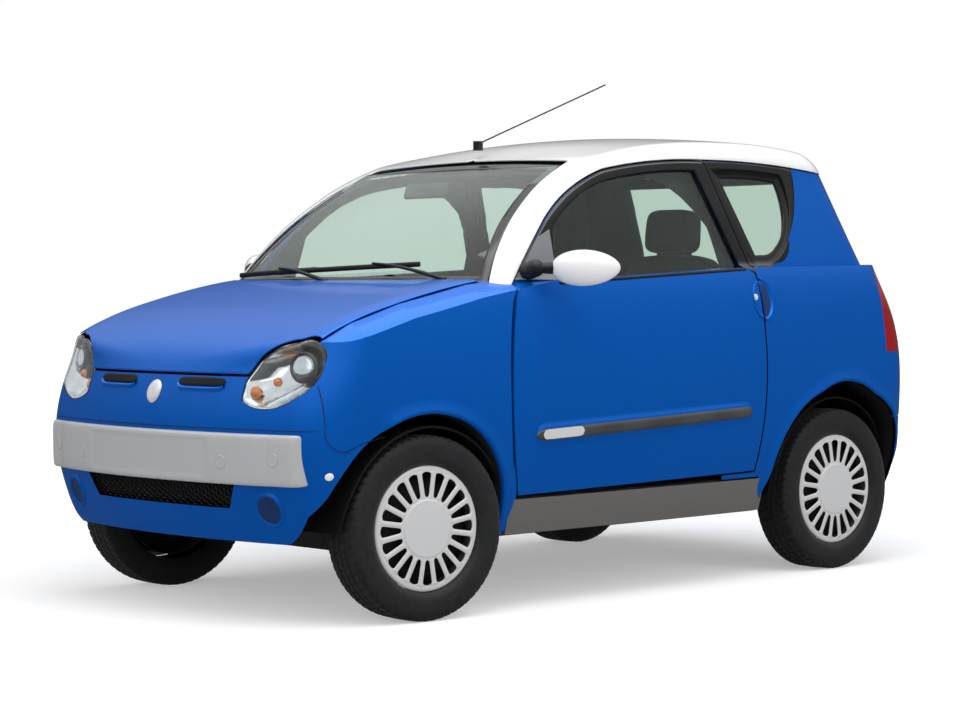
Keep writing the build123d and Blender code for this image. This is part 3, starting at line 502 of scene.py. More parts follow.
def weldClose(piece, closed=False):
    # merges points that fall together, as at a pole or a seam; a closed form's faces are turned outwards
    work = bmesh.new()
    work.from_mesh(piece.data)
    bmesh.ops.remove_doubles(work, verts=work.verts, dist=1e-5)
    bmesh.ops.dissolve_degenerate(work, edges=work.edges, dist=1e-6)
    if closed:
        bmesh.ops.recalc_face_normals(work, faces=work.faces)
    work.to_mesh(piece.data)
    work.free()


doorPair, bodyPair = ("door_left", "door_right"), ("body", "body")
# Outlines that pieces share with the panels, in side view: y, z
outlines = {
    "doorFrame": [(-0.5135, 0.925), (-0.4365, 1.028, -0.3235, 1.148), (-0.2415, 1.212, -0.0405, 1.305),
                  (0.1315, 1.330, 0.4145, 1.344), (0.5505, 0.975)],
    "doorWindow": [(-0.3245, 0.966), (-0.2985, 1.124), (-0.2085, 1.198, -0.0265, 1.274),
                   (0.1435, 1.299, 0.3725, 1.311), (0.5015, 1.002)],
    "quarterWindow": [(0.4525, 1.318), (0.6145, 1.320, 0.7905, 1.308), (0.8025, 1.150, 0.7165, 1.036),
                      (0.6765, 1.012, 0.6145, 1.004), (0.5815, 1.002)],
}


def standOff(gap, points, lift):
    # points on the surface moved by lift along its normal: the gap's change over 2 mm steps in x, y and z
    step = 0.002
    slope = np.stack([(gap(*(np.moveaxis(points, -1, 0) + step * axis[:, None, None]))
                       - gap(*(np.moveaxis(points, -1, 0) - step * axis[:, None, None])))
                      for axis in np.eye(3)], -1)
    normal = slope / np.linalg.norm(slope, axis=-1, keepdims=True)
    return points + normal * np.asarray(lift)[..., None]


def liftedSide(gap, flat, lift):
    # side-view points (y, z) carried out to the surface and stood off by lift, which may vary over the points
    return standOff(gap, sidePoint(gap, flat[..., 0], flat[..., 1]), lift)


def liftedFront(gap, flat, lift):
    # the same for front-view points (x, z)
    return standOff(gap, frontPoint(gap, flat[..., 0], flat[..., 1]), lift)


def closedPath(outline, count):
    # an outline that returns to its first point, as count points evenly apart along it
    return evenPath(arcPath(outline + [outline[0]]), count + 1)[:-1]


def between(outer, inner, rows):
    # a flat band: straight lines from each point of one path to its match on the other
    share = np.linspace(0, 1, rows)[None, :, None]
    return outer[:, None, :] * (1 - share) + inner[:, None, :] * share


def bothSides(name, points, faces, finish, bodies, weld=False, wall=0, rim=0):
    # a piece on the car's left side and its mirror image on the right, x times minus one
    mirrored = np.asarray(points, float).reshape(-1, 3) * [-1, 1, 1]
    made = [makePiece(name + "Left", points, faces, finish, bodies[0]),
            makePiece(name + "Right", mirrored, np.asarray(faces)[:, ::-1], finish, bodies[1])]
    for piece in made:
        if weld:
            weldClose(piece)
        if wall:
            thicken(piece, wall, rim=rim)
    return made


def discGrid(around, rings):
    # angle and share of the radius over a disc or a turned form: full circle by middle to edge
    return np.meshgrid(np.linspace(0, 2 * np.pi, around + 1)[:-1], np.linspace(0, 1, rings), indexing="ij")


def shiftPath(path, distance):
    # an open path moved sideways to its left by a distance
    along = np.gradient(path, axis=0)
    along /= np.linalg.norm(along, axis=1, keepdims=True)
    return path + distance * np.stack([-along[:, 1], along[:, 0]], -1)


trim = {"frameLift": 0.0028, "sealWidth": 0.009, "frameSetIn": 0.002, "frameOverhang": 0.0065,
        "sillSealHeight": 0.012, "printLift": 0.0016,
        "doorEdge": [(-0.4865, 0.975), (-0.390, 1.080, -0.3235, 1.148)]}


def makeDoorFrames():
    # a black band from the door's edge to the glass, up the front, along the rail and down the back
    outer = evenPath(arcPath(trim["doorEdge"] + outlines["doorFrame"][2:]), 140)
    overhang = np.clip((np.arange(140)[:, None] - 96) / 6, 0, 1) * trim["frameOverhang"]
    outer = shiftPath(outer, overhang - trim["frameSetIn"])
    inner = evenPath(arcPath(outlines["doorWindow"]), 140)
    points = liftedSide(bodyGap, between(outer, inner, 7), np.full((140, 7), trim["frameLift"]))
    faces = gridFaces(140, 7)
    bothSides("doorFrameBand", points, faces, blackSmooth, doorPair, wall=0.003, rim=0.0015)
    # a thin grey seal round the frame, along the door's edge
    far = shiftPath(evenPath(arcPath(trim["doorEdge"] + outlines["doorFrame"][2:4]), 120), -0.003)
    near = shiftPath(far, -trim["sealWidth"])
    points = liftedSide(bodyGap, between(far, near, 3), np.tile([0.001, 0.0035, 0.001], (120, 1)))
    bothSides("doorSeal", points, gridFaces(120, 3), sailGrey, doorPair, wall=0.003, rim=0.0015)
    # the waist seal under the glass
    top = np.stack([np.linspace(-0.330, 0.506, 60), np.linspace(0.9655, 1.0025, 60)], -1)
    low = top - [0, trim["sillSealHeight"]]
    points = liftedSide(bodyGap, between(top, low, 4), np.tile([0.0, 0.005, 0.005, 0.0], (60, 1)))
    bothSides("waistSeal", points, gridFaces(60, 4), blackPlastic, doorPair, wall=0.002, rim=0.0015)


def makeSails():
    # grey corner panels at the front of each door window: a three-cornered patch with a moulded face
    front = evenPath(arcPath([(-0.4865, 0.975), (-0.430, 1.037, -0.370, 1.103)]), 30)
    back = np.stack([np.linspace(-0.318, -0.313, 30), np.linspace(0.966, 1.120, 30)], -1)
    front = shiftPath(front, -0.010)
    points = liftedSide(bodyGap, between(front, back, 14), np.full((30, 14), 0.0045))
    bothSides("sailPanel", points, gridFaces(30, 14), sailGrey, doorPair, wall=0.003, rim=0.0015)


def makeQuarterSurrounds():
    # a black ring inside the rear side window, printed on the glass edge: its inner line is the outer one
    # drawn towards their middle
    outer = closedPath(outlines["quarterWindow"], 160)
    centre = outer.mean(0)
    inner = centre + (outer - centre) * [0.80, 0.78] + [0.004, 0.0]
    sink = np.tile([0.0, -0.003, -0.0045, -0.005, -0.005], (160, 1))
    points = liftedSide(bodyGap, between(outer, inner, 5), sink)
    bothSides("quarterSurround", points, gridFaces(160, 5, wrapRows=True), blackSmooth, bodyPair,
              wall=0.002, rim=0.0015)


def makePillarBands():
    # black print over the pillar between the door and the rear side window, and out to the roof's edge
    outline = [(0.4215, 1.3430), (0.64, 1.3405, 0.8580, 1.3270), (0.8400, 1.2100, 0.7740, 1.1000),
               (0.7500, 1.0400, 0.6900, 1.0180), (0.6400, 1.0060), (0.5470, 1.0040)]
    outer, inner = closedPath(outline, 240), closedPath(outlines["quarterWindow"], 240)
    middle = inner.mean(0)
    # each outer point is matched with the window's edge at the same angle about the window's middle
    outerTurn, innerTurn = (np.arctan2(*(path - middle).T[::-1]) % (2 * np.pi) for path in (outer, inner))
    order = np.argsort(innerTurn)
    inner = np.stack([np.interp(outerTurn, innerTurn[order], inner[order, k], period=2 * np.pi)
                      for k in range(2)], -1)
    inner = middle + (inner - middle) * 0.97
    points = liftedSide(bodyGap, between(outer, inner, 6), np.full((240, 6), trim["printLift"]))
    bothSides("pillarBand", points, gridFaces(240, 6, wrapRows=True), blackSmooth, bodyPair, wall=0.0014)


def makeScreenSurround():
    # the black printed edge of the windscreen, wider at its foot
    outer = closedPath([(-0.609, 0.948), (0.609, 0.948), (0.4555, 1.329), (0, 1.344, -0.4555, 1.329)], 240)
    middleZ = 1.150
    shrink = np.where(outer[:, 1] < middleZ, 0.82, 0.90)
    inner = np.stack([outer[:, 0] * 0.925, middleZ + (outer[:, 1] - middleZ) * shrink], -1)
    points = liftedFront(upperGap, between(outer, inner, 5), np.full((240, 5), -0.0048))
    piece = makePiece("screenSurround", points, gridFaces(240, 5, wrapRows=True), blackSmooth, "body")
    thicken(piece, 0.0012, rim=0)


makeDoorFrames()
makeSails()
makeQuarterSurrounds()
makePillarBands()
makeScreenSurround()
print("window surrounds made")


nose = {
    "lampOutline": [(0.380, 0.638), (0.378, 0.690), (0.414, 0.748), (0.472, 0.787, 0.540, 0.802),
                    (0.606, 0.796, 0.624, 0.744), (0.618, 0.692, 0.576, 0.650), (0.490, 0.616, 0.380, 0.638)],
    "bowlDepth": 0.050, "lensInset": 0.0015,
    "barHalf": 0.618, "barLow": 0.404, "barHigh": 0.548, "barBow": 2.4, "barProud": 0.016, "barEnd": 0.034,
    "barDeep": 0.045, "recess": (0.476, 0.335), "recessRadius": 0.054, "plugRadius": 0.020,
    "slotMiddle": (0.2035, 0.6885), "slotHalf": (0.0995, 0.0135), "cell": 0.0105, "seamHalf": 0.0009,
    "bossMiddle": (0.0, 0.655), "bossHalf": (0.031, 0.034),
}


def lampSurface(across, rings, depthAt, inset):
    # polar patch inside the lamp's outline: share t from the middle to the edge, pushed back by depthAt(t)
    path = evenPath(arcPath(nose["lampOutline"]), across + 1)[:-1]
    centre = np.array([0.505, 0.712])
    share = np.linspace(0, 1, rings) ** 0.8
    flat = centre + (path[:, None, :] - centre) * (share[None, :, None] * (1 - inset))
    points = liftedFront(lowerGap, flat, np.full(flat.shape[:2], -nose["lensInset"]))
    points[..., 1] += depthAt(share)[None, :]
    return points


def makeHeadlamps():
    across, rings = 96, 26
    lens = lampSurface(across, rings, lambda t: 0 * t, 0.010)
    bowl = lampSurface(across, rings, lambda t: nose["bowlDepth"] * (1 - t ** 3.0) + 0.004, 0.016)
    faces = gridFaces(across, rings, wrapRows=True)
    pieces = bothSides("lampLens", lens, faces, lampGlass, bodyPair)
    for piece in pieces:
        weldClose(piece)
        thicken(piece, 0.0025, rim=0)
    bothSides("lampReflector", bowl, faces, chrome, bodyPair, weld=True, wall=0.002)
    # projector: a black ring round a domed clear lens with a mirror behind; bulbs beside it
    for label, at, back, radii, height, finish in (
            ("lampRing", (0.548, 0.732), 0.026, (0.033, 0.046), 0.016, blackSmooth),
            ("lampMirror", (0.548, 0.732), 0.024, (0.0, 0.034), 0.005, chrome),
            ("lampDome", (0.548, 0.732), 0.022, (0.0, 0.032), 0.014, lampGlass),
            ("lampBulbInner", (0.408, 0.660), 0.022, (0.0, 0.017), 0.013, amberBulb),
            ("lampBulbMiddle", (0.478, 0.690), 0.022, (0.0, 0.012), 0.014, amberBulb)):
        spot = frontPoint(lowerGap, np.array([at[0]]), np.array([at[1]]))[0] + [0, back, 0]
        addLampRound(label, spot, radii, height, finish)
    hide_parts("headlamps")


def addLampRound(name, centre, radii, height, finish):
    # a turned form about a line that points forwards and a little outwards: a ring whose section is a full
    # turn of sine and cosine, or a dome from a quarter ellipse
    turn, rise = discGrid(40, 12)
    if radii[0] > 0:
        radius = radii[0] + (radii[1] - radii[0]) * (0.5 - 0.5 * np.cos(rise * 2 * np.pi))
        along = height * np.sin(rise * 2 * np.pi) * 0.5
    else:
        radius = radii[1] * np.sin(rise * np.pi / 2)
        along = height * np.cos(rise * np.pi / 2)
    forward = np.array([0.28, -0.95, 0.12])
    forward /= np.linalg.norm(forward)
    right = np.cross(forward, [0, 0, 1.0])
    right /= np.linalg.norm(right)
    upward = np.cross(right, forward)
    points = (np.array(centre) + forward * along[..., None] + right * (radius * np.cos(turn))[..., None]
              + upward * (radius * np.sin(turn))[..., None])
    for piece in bothSides(name, points, gridFaces(40, 12, wrapRows=True), finish, bodyPair):
        weldClose(piece)
        if radii[0] == 0:
            thicken(piece, 0.002, rim=0)


def makeSlots():
    # two air slots just under the bonnet's front edge, whose height is a high power of the way along; nothing
    # is cut
    # open: each is a dark sheet laid just proud of the fascia, painted shade for the hollow behind it
    (middleX, middleZ), (halfX, halfZ) = nose["slotMiddle"], nose["slotHalf"]
    x = np.linspace(0.105, 0.302, 40)
    height = halfZ * np.sqrt(np.clip(1 - ((x - middleX) / halfX) ** 8, 0, 1))
    top = np.stack([x, middleZ + height * 0.75], -1)
    low = np.stack([x, middleZ - height], -1)
    # each opening as a dark sheet 3 mm proud of the fascia: painted shade
    points = liftedFront(lowerGap, between(top, low, 6), np.full((40, 6), 0.0030))
    bothSides("airSlotShade", points, gridFaces(40, 6), underCoat, bodyPair, wall=0.001)
    # a rolled lip under each slot: half a sine wave down its height
    bottom = np.stack([x, middleZ - height - 0.016], -1)
    roll = np.tile(0.008 * np.sin(np.linspace(0, np.pi, 9)) - 0.0008, (40, 1))
    points = liftedFront(lowerGap, between(low, bottom, 9), roll)
    bothSides("slotLip", points, gridFaces(40, 9), blueLacquer, bodyPair)


def barPlan(x):
    # the bar's front in plan: y = front + x squared over twice the bow, rounder past x = 0.45, and always
    # ahead of the fascia
    fascia = frontPoint(lowerGap, x, np.full_like(x, 0.475))[..., 1]
    ends = np.clip(np.abs(x) - 0.45, 0, None)
    return np.minimum(-1.3685 + x * x / (2 * nose["barBow"]) + ends ** 2 / 0.60, fascia - nose["barProud"])


def makeBumperBar():
    # across: x along the bar, closer at the ends; around: powers of sine and cosine make a rounded oblong;
    # the ends sink back along a quarter circle, and a shallow bay holds the plate
    count, around = 201, 64
    x = nose["barHalf"] * np.sin(np.linspace(-1, 1, count) * np.pi / 2)
    angle = np.linspace(0, 2 * np.pi, around, endpoint=False)
    tall = (nose["barHigh"] - nose["barLow"]) / 2
    middle = (nose["barHigh"] + nose["barLow"]) / 2
    c, s = np.cos(angle), np.sin(angle)
    upward = np.sign(s) * np.abs(s) ** 0.36 * tall
    depth = 0.5 + 0.5 * np.sign(c) * np.abs(c) ** 0.36
    turned = np.clip((np.abs(x) - nose["barHalf"] + nose["barEnd"]) / nose["barEnd"], 0, 1)
    end = np.sqrt(1 - turned ** 2)
    X = np.repeat(x[:, None], around, 1)
    Z = middle + upward[None, :] * (0.86 + 0.14 * end[:, None])
    front = barPlan(x)[:, None]
    Y = front + nose["barDeep"] * (1 - depth[None, :] * end[:, None])
    bay = 1 / (1 + np.exp((np.abs(X) - 0.285) / 0.003)) / (1 + np.exp((np.abs(Z - middle) - 0.054) / 0.0022))
    Y = Y + np.where(depth[None, :] > 0.6, 0.0035 * bay, 0)
    points = np.stack([X, Y, Z], -1)
    faces = gridFaces(count, around, wrapColumns=True)
    piece = makePiece("bumperBar", points, faces, bumperSilver, "body")
    weldClose(piece)
    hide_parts("front_bumper")
    for k, (px, pz) in enumerate([(-0.53, 0.478), (-0.346, 0.467), (0.346, 0.467), (0.53, 0.478)]):
        addPlug("bumperPlug%d" % (k + 1), px, pz)


def addPlug(name, x, z):
    # a round press-in plug: a shallow dish with a raised rim, following the bar
    turn, share = discGrid(36, 9)
    radius = nose["plugRadius"] * share
    lift = 0.0012 + 0.0010 * np.exp(-((share - 0.9) / 0.08) ** 2)
    px, pz = x + radius * np.cos(turn), z + radius * np.sin(turn)
    points = np.stack([px, barPlan(px) - lift, pz], -1)
    piece = makePiece(name, points, gridFaces(36, 9, wrapRows=True), bumperSilver, "body")
    weldClose(piece)
    thicken(piece, 0.002, rim=0)


def makeGrille():
    # a honeycomb: hexagon corners at sixths of a turn, on columns one and a half cells apart, bars by a wire
    # modifier, set back in the opening
    size, rowsUp, columns = nose["cell"], 7, 44
    corner = np.arange(6) * np.pi / 3
    i, j = np.meshgrid(np.arange(-columns, columns + 1), np.arange(rowsUp), indexing="ij")
    cx = i * size * 1.5
    cz = 0.334 + (j + 0.5 * (np.abs(i) % 2)) * size * math.sqrt(3)
    keep = (np.abs(cx) < 0.322 + (cz - 0.332) * 0.5) & (cz < 0.400) & (cz > 0.335)
    cx, cz = cx[keep], cz[keep]
    X = cx[:, None] + size * np.cos(corner)
    Z = cz[:, None] + size * np.sin(corner)
    flat = np.stack([X, Z], -1)
    points = liftedFront(lowerGap, flat, np.full(flat.shape[:2], -0.010))
    faces = np.arange(points.shape[0] * 6).reshape(-1, 6)
    piece = makePiece("grilleHoneycomb", points, faces, blackSmooth, "body", smooth=False)
    weldClose(piece)
    wire = piece.modifiers.new("bars", "WIREFRAME")
    wire.thickness, wire.use_even_offset = 0.0032, False
    x = np.linspace(-0.366, 0.366, 60)
    flat = between(np.stack([x, np.full(60, 0.403)], -1), np.stack([x, np.full(60, 0.329)], -1), 6)
    points = liftedFront(lowerGap, flat, np.full((60, 6), -0.022))
    back = makePiece("grilleBack", points, gridFaces(60, 6), underCoat, "body")
    thicken(back, 0.001, rim=0)
    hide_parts("lower_grille")


def makeRecesses():
    # round blank recesses low in the fascia: a floor in painted shade, laid just proud of the fascia, inside
    # a rolled edge, whose height is a bell curve over the radius
    turn, share = discGrid(64, 26)
    radius = nose["recessRadius"] * share
    x, z = nose["recess"][0] + radius * np.cos(turn), nose["recess"][1] + radius * np.sin(turn)
    roll = 0.0048 * np.exp(-((radius - 0.0435) / 0.0045) ** 2)
    rise = 0.0022 + roll - 0.0034 * np.clip((radius - 0.048) / 0.006, 0, 1)
    points = liftedFront(lowerGap, np.stack([x, z], -1), rise)
    outer = share[0] >= 0.70
    faces = gridFaces(64, 26, wrapRows=True)
    ring = outer[faces[:, 0] % 26]
    bothSides("recessRim", points, faces[ring], blueLacquer, bodyPair, weld=True)
    # the floor: painted shade in place of the recess's depth
    bothSides("recessFloorShade", points, faces[~ring], handleShade, bodyPair, weld=True)


def makeSeams():
    # dark lines where panels meet: narrow strips along the fascia's edge at the wing and above the bumper bar
    edge = evenPath(arcPath([(-1.030, 0.537), (-1.1145, 0.520), (-1.1605, 0.500),
                             (-1.2025, 0.516, -1.2145, 0.570), (-1.2145, 0.682)]), 70)
    half = nose["seamHalf"]
    flat = between(shiftPath(edge, half), shiftPath(edge, -half), 2)
    bothSides("wingSeam", liftedSide(lowerGap, flat, np.full((70, 2), 0.0024)), gridFaces(70, 2), underCoat,
              bodyPair, wall=0.0008)
    edge = np.stack([np.linspace(-0.640, 0.640, 120), np.full(120, 0.5585)], -1)
    flat = between(edge + [0, half], edge - [0, half], 2)
    piece = makePiece("fasciaSeam", liftedFront(lowerGap, flat, np.full((120, 2), 0.0026)), gridFaces(120, 2),
                      underCoat, "body")
    thicken(piece, 0.0008, rim=0)


def makeBoss():
    # a plain oval boss under the bonnet's edge, left bare: its height is one less the sixth power of the
    # share of the way out
    turn, share = discGrid(48, 14)
    (middleX, middleZ), (halfX, halfZ) = nose["bossMiddle"], nose["bossHalf"]
    x, z = middleX + halfX * share * np.cos(turn), middleZ + halfZ * share * np.sin(turn)
    lift = 0.009 * (1 - share ** 6) + 0.0008
    points = liftedFront(lowerGap, np.stack([x, z], -1), lift)
    piece = makePiece("bareBoss", points, gridFaces(48, 14, wrapRows=True), coverSilver, "body")
    weldClose(piece)


makeHeadlamps()
makeSlots()
makeBumperBar()
makeGrille()
makeRecesses()
makeSeams()
makeBoss()
print("nose made")


wheels = {"radius": 0.266, "frontY": -0.8505, "rearY": 0.9595, "kingpinX": 0.598, "steered": -5}

side = {
    "handle": (0.5535, 0.900), "lock": (0.526, 0.908), "lockRadius": 0.0105,
    "repeater": (-1.204, 0.433), "repeaterRadius": 0.012,
    "stripFront": (-0.470, 0.514), "stripRear": (0.470, 0.546), "stripHalf": 0.021, "stripLift": 0.011,
    "plateFront": (-0.452, 0.5165), "plateLong": 0.165, "plateHalf": 0.0145,
    "lipWidth": 0.050, "lipHeight": 0.009, "linerDepth": 0.30,
    "frontArch": [(-0.5825, 0.240), (-0.5825, 0.300), (-0.6065, 0.440, -0.7195, 0.559),
                  (-0.8495, 0.594, -0.9845, 0.571), (-1.050, 0.546)],
    "rearArch": [(1.2655, 0.300), (1.2635, 0.319), (1.2295, 0.480, 1.1045, 0.579),
                 (0.9795, 0.625, 0.8315, 0.597), (0.6995, 0.530, 0.5825, 0.349), (0.5495, 0.280),
                 (0.5495, 0.240)],
    "frontLiner": [(-0.5825, 0.230), (-0.5825, 0.300), (-0.6065, 0.440, -0.7195, 0.559),
                   (-0.8495, 0.594, -0.9845, 0.571), (-1.1045, 0.510, -1.2025, 0.373), (-1.2305, 0.320),
                   (-1.2305, 0.245)],
}


def makeDoorStrips():
    # a dark strip in a raised body-coloured moulding along the door: the strip's height is one less the
    # fourth power of the way across, its ends a high power of the way along
    count = 90
    share = np.linspace(0, 1, count)
    front, rear = np.array(side["stripFront"]), np.array(side["stripRear"])
    middle = front + share[:, None] * (rear - front)
    ends = np.sqrt(np.clip(1 - (2 * share - 1) ** 40, 0, 1))
    half = side["stripHalf"] * ends
    rise = side["stripLift"] * (1 - np.linspace(-1, 1, 9) ** 4)[None, :] * ends[:, None] + 0.0005
    band = between(middle + np.stack([0 * half, half], -1), middle - np.stack([0 * half, half], -1), 9)
    bothSides("doorStrip", liftedSide(lowerGap, band, rise), gridFaces(count, 9), greyStrip,
              doorPair, wall=0.002)
    wide = half * 1.9
    rise = 0.0065 * np.exp(-(np.linspace(-1, 1, 13) / 0.72) ** 6)[None, :] * ends[:, None] - 0.0004
    band = between(middle + np.stack([0 * wide, wide], -1), middle - np.stack([0 * wide, wide], -1), 13)
    bothSides("doorMoulding", liftedSide(lowerGap, band, rise), gridFaces(count, 13), blueLacquer, doorPair)
    # a small blank plate at the strip's front end
    long = side["plateLong"]
    y = np.linspace(0, long, 30)
    tall = side["plateHalf"] * np.sqrt(np.clip(1 - (2 * y / long - 1) ** 12, 0, 1))
    line = np.array(side["plateFront"]) + np.stack([y, y * 0.034], -1)
    band = between(line + np.stack([0 * y, tall], -1), line - np.stack([0 * y, tall], -1), 5)
    bothSides("blankPlate", liftedSide(lowerGap, band, np.full((30, 5), side["stripLift"] + 0.0022)),
              gridFaces(30, 5), coverSilver, doorPair)


def makeArchLips():
    # a lip that swells round each wheel opening and dies into the panel: its height is one less the share of
    # the way out, to the power 1.5
    for name, outline, count in (("frontArchLip", side["frontArch"], 110),
                                 ("rearArchLip", side["rearArch"], 130)):
        inner = evenPath(arcPath(outline), count)
        share = np.linspace(0, 1, 12)
        middle = np.array([wheels["frontY" if name == "frontArchLip" else "rearY"], wheels["radius"]])
        outward = inner - middle
        outward /= np.linalg.norm(outward, axis=1, keepdims=True)
        flat = inner[:, None, :] + outward[:, None, :] * (share[None, :, None] * side["lipWidth"])
        flat[..., 1] = np.maximum(flat[..., 1], 0.232)
        rise = side["lipHeight"] * (1 - share) ** 1.5 * (1 - np.exp(-share / 0.04)) - 0.0006
        fade = np.clip(np.minimum(np.arange(count), np.arange(count)[::-1]) / 10, 0, 1)
        points = liftedSide(lowerGap, flat, rise[None, :] * fade[:, None] - 0.0002)
        flip = name == "rearArchLip"
        bothSides(name, points, gridFaces(count, 12, flip=not flip), blueLacquer, bodyPair)


def makeArchLiners():
    # black liners inside the wheel openings: the opening's outline carried inwards across the car
    for name, outline, count in (("frontLiner", side["frontLiner"], 100),
                                 ("rearLiner", side["rearArch"], 110)):
        path = evenPath(arcPath(outline), count)
        middle = np.array([wheels["frontY" if name == "frontLiner" else "rearY"], wheels["radius"]])
        path = middle + (path - middle) * 0.997
        edge = sidePoint(lowerGap, path[:, 0], path[:, 1])
        inward = 0.012 + np.linspace(0, 1, 6)[None, :, None] * side["linerDepth"]
        points = edge[:, None, :] - np.array([1.0, 0, 0]) * inward
        for piece in bothSides(name, points, gridFaces(count, 6), underCoat, bodyPair):
            thicken(piece, 0.002, 0.0, rim=0)


def makeRepeaters():
    # small round white lamps on the wings: a low dome, one less the third power of the share of its radius
    turn, share = discGrid(32, 9)
    (middleY, middleZ), radius = side["repeater"], side["repeaterRadius"] * share
    y, z = middleY + radius * np.cos(turn), middleZ + radius * np.sin(turn)
    y = np.minimum(y, -1.192)
    flat = np.stack([y, z], -1)
    points = liftedSide(lowerGap, flat, 0.005 * (1 - share ** 3) - 0.0003)
    bothSides("sideRepeater", points, gridFaces(32, 9, wrapRows=True), whiteLacquer, bodyPair, weld=True)


def makeHandles():
    # a scooped grip at the door's edge: half ellipses with a faint rim on the door, a dark disc of painted
    # shade laid just proud of the panel where the hollow would be, and a bright rim behind it, the rims bell
    # curves over the share of the way out
    half = np.linspace(-np.pi / 2, np.pi / 2, 49)
    turn, share = np.meshgrid(half, np.linspace(0, 1, 22), indexing="ij")
    centre = side["handle"]
    faces = gridFaces(49, 22)

    def scoop(name, startY, wide, tall, rise, finish, bodies, outward=1):
        y = startY + outward * wide * share * np.cos(turn)
        z = centre[1] + tall * share * np.sin(turn)
        points = liftedSide(lowerGap, np.stack([y, z], -1), rise)
        bothSides(name, points, faces if outward > 0 else faces[:, ::-1], finish, bodies, weld=True)

    rise = 0.0068 * np.exp(-((share - 0.90) / 0.075) ** 2) + 0.0006
    scoop("handleRim", centre[0] + 0.003, 0.050, 0.072, rise, blueLacquer, bodyPair)
    # a dark disc of painted shade standing for the scoop's hollow
    scoop("handleHollowShade", centre[0] + 0.003, 0.034, 0.060, 0.0016 + 0 * share, handleShade, bodyPair)
    rise = 0.0030 * np.exp(-((share - 0.90) / 0.07) ** 2) + 0.0004
    scoop("handleDoorRim", centre[0] - 0.004, 0.036, 0.060, rise, blueLacquer, doorPair,
          outward=-1)
    # the lock below the window's corner: a low round dome
    turn, share = discGrid(64, 16)
    (middleY, middleZ), radius = side["lock"], side["lockRadius"] * share
    y, z = middleY + radius * np.cos(turn), middleZ + radius * np.sin(turn)
    points = liftedSide(lowerGap, np.stack([y, z], -1), 0.004 * (1 - share ** 6) + 0.0004)
    bothSides("doorLock", points, gridFaces(64, 16, wrapRows=True), coverSilver, doorPair, weld=True)


def makeLiners():
    # dark inner trim over the doors, pillars and rails, seen through the glass: rings inside the body's wall
    # between a window's outline and one round it
    doorRing = [(-0.470, 0.940), (-0.415, 1.050, -0.318, 1.140), (-0.235, 1.198, -0.040, 1.292),
                (0.1315, 1.317, 0.4045, 1.331), (0.530, 0.985), (0.5, 0.42), (-0.43, 0.42)]
    quarterRing = [(0.440, 1.336), (0.70, 1.336, 0.95, 1.312), (1.00, 1.22, 1.02, 0.99),
                   (0.98, 0.70, 0.62, 0.70), (0.57, 0.99)]
    for name, window, ring, bodies in (
            ("doorLiner", outlines["doorWindow"], doorRing, doorPair),
            ("quarterLiner", outlines["quarterWindow"], quarterRing, bodyPair)):
        flat = between(closedPath(ring, 160), closedPath(window, 160), 8)
        points = liftedSide(bodyGap, flat, np.full(flat.shape[:2], -0.0425))
        faces = gridFaces(160, 8, wrapRows=True, flip=True)
        bothSides(name, points, faces, dashPlastic, bodies, wall=0.0015)
    # headlining: across the car by angle, along it by station
    y, angle = np.meshgrid(np.linspace(-0.075, 1.045, 60),
                           np.linspace(math.radians(28), math.radians(152), 60), indexing="ij")
    points = ringPoint(lambda a, b, c: upperGap(a, b, c) + 0.044, y, angle, 1.05)
    piece = makePiece("headlining", points, gridFaces(60, 60, flip=True), headCloth, "body")
    thicken(piece, 0.0015, rim=0)


def makeMirrors():
    # an egg-shaped housing on a thin neck and a ball, turned full circle: the radius along the axis is the
    # root of a sine for the egg and of a circle for the ball
    ball = np.array([0.680, -0.4365, 1.004])
    sweep = math.radians(45)
    axis = np.array([math.cos(sweep), math.sin(sweep), 0])
    across = np.array([-math.sin(sweep), math.cos(sweep), 0])
    upward = np.array([0, 0, 1.0])

    def turned(name, along, radius, finish, squash, direction, flank, crest):
        turn = np.linspace(0, 2 * np.pi, 73)[:-1]
        points = (ball + direction * along[None, :, None]
                  + flank * (np.cos(turn)[:, None] * radius[None, :] * squash)[..., None]
                  + crest * (np.sin(turn)[:, None] * radius[None, :])[..., None])
        pieces = bothSides(name, points, gridFaces(72, len(along), wrapRows=True), finish, doorPair)
        for piece in pieces:
            weldClose(piece, closed=True)
        return pieces

    egg, joint = {"start": 0.047, "long": 0.2025, "half": 0.0585}, 0.026
    along = egg["start"] + egg["long"] * (1 - np.cos(np.linspace(0, np.pi, 60))) / 2
    share = (along - egg["start"]) / egg["long"]
    radius = egg["half"] * np.sqrt(np.clip(np.sin(np.pi * share ** 0.80), 0, 1)) * (0.86 + 0.14 * share)
    radius = np.minimum(radius, egg["half"])
    housings = turned("mirrorHousing", along, radius, whiteLacquer, 0.86, axis, across, upward)
    overBall = np.linspace(-joint, 0.021, 24)
    along = np.concatenate([overBall, np.linspace(0.022, 0.054, 8)])
    radius = np.concatenate([np.sqrt(np.clip(joint ** 2 - overBall ** 2, 0, 1)),
                             np.linspace(0.0153, 0.0185, 8)])
    turned("mirrorBall", along, radius, blackPlastic, 1.0, axis, across, upward)
    lean = math.radians(14)
    down, rearward = np.array([-math.cos(lean), 0, -math.sin(lean)]), np.array([0, 1.0, 0])
    along = np.linspace(0, 0.046, 12)
    radius = np.full(12, 0.0262)
    radius[0], radius[-1] = 0.0, 0.0
    turned("mirrorFoot", along, radius, blackPlastic, 1.0, down, rearward, np.cross(down, rearward))
    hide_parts("door_mirror_left")
    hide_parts("door_mirror_right")


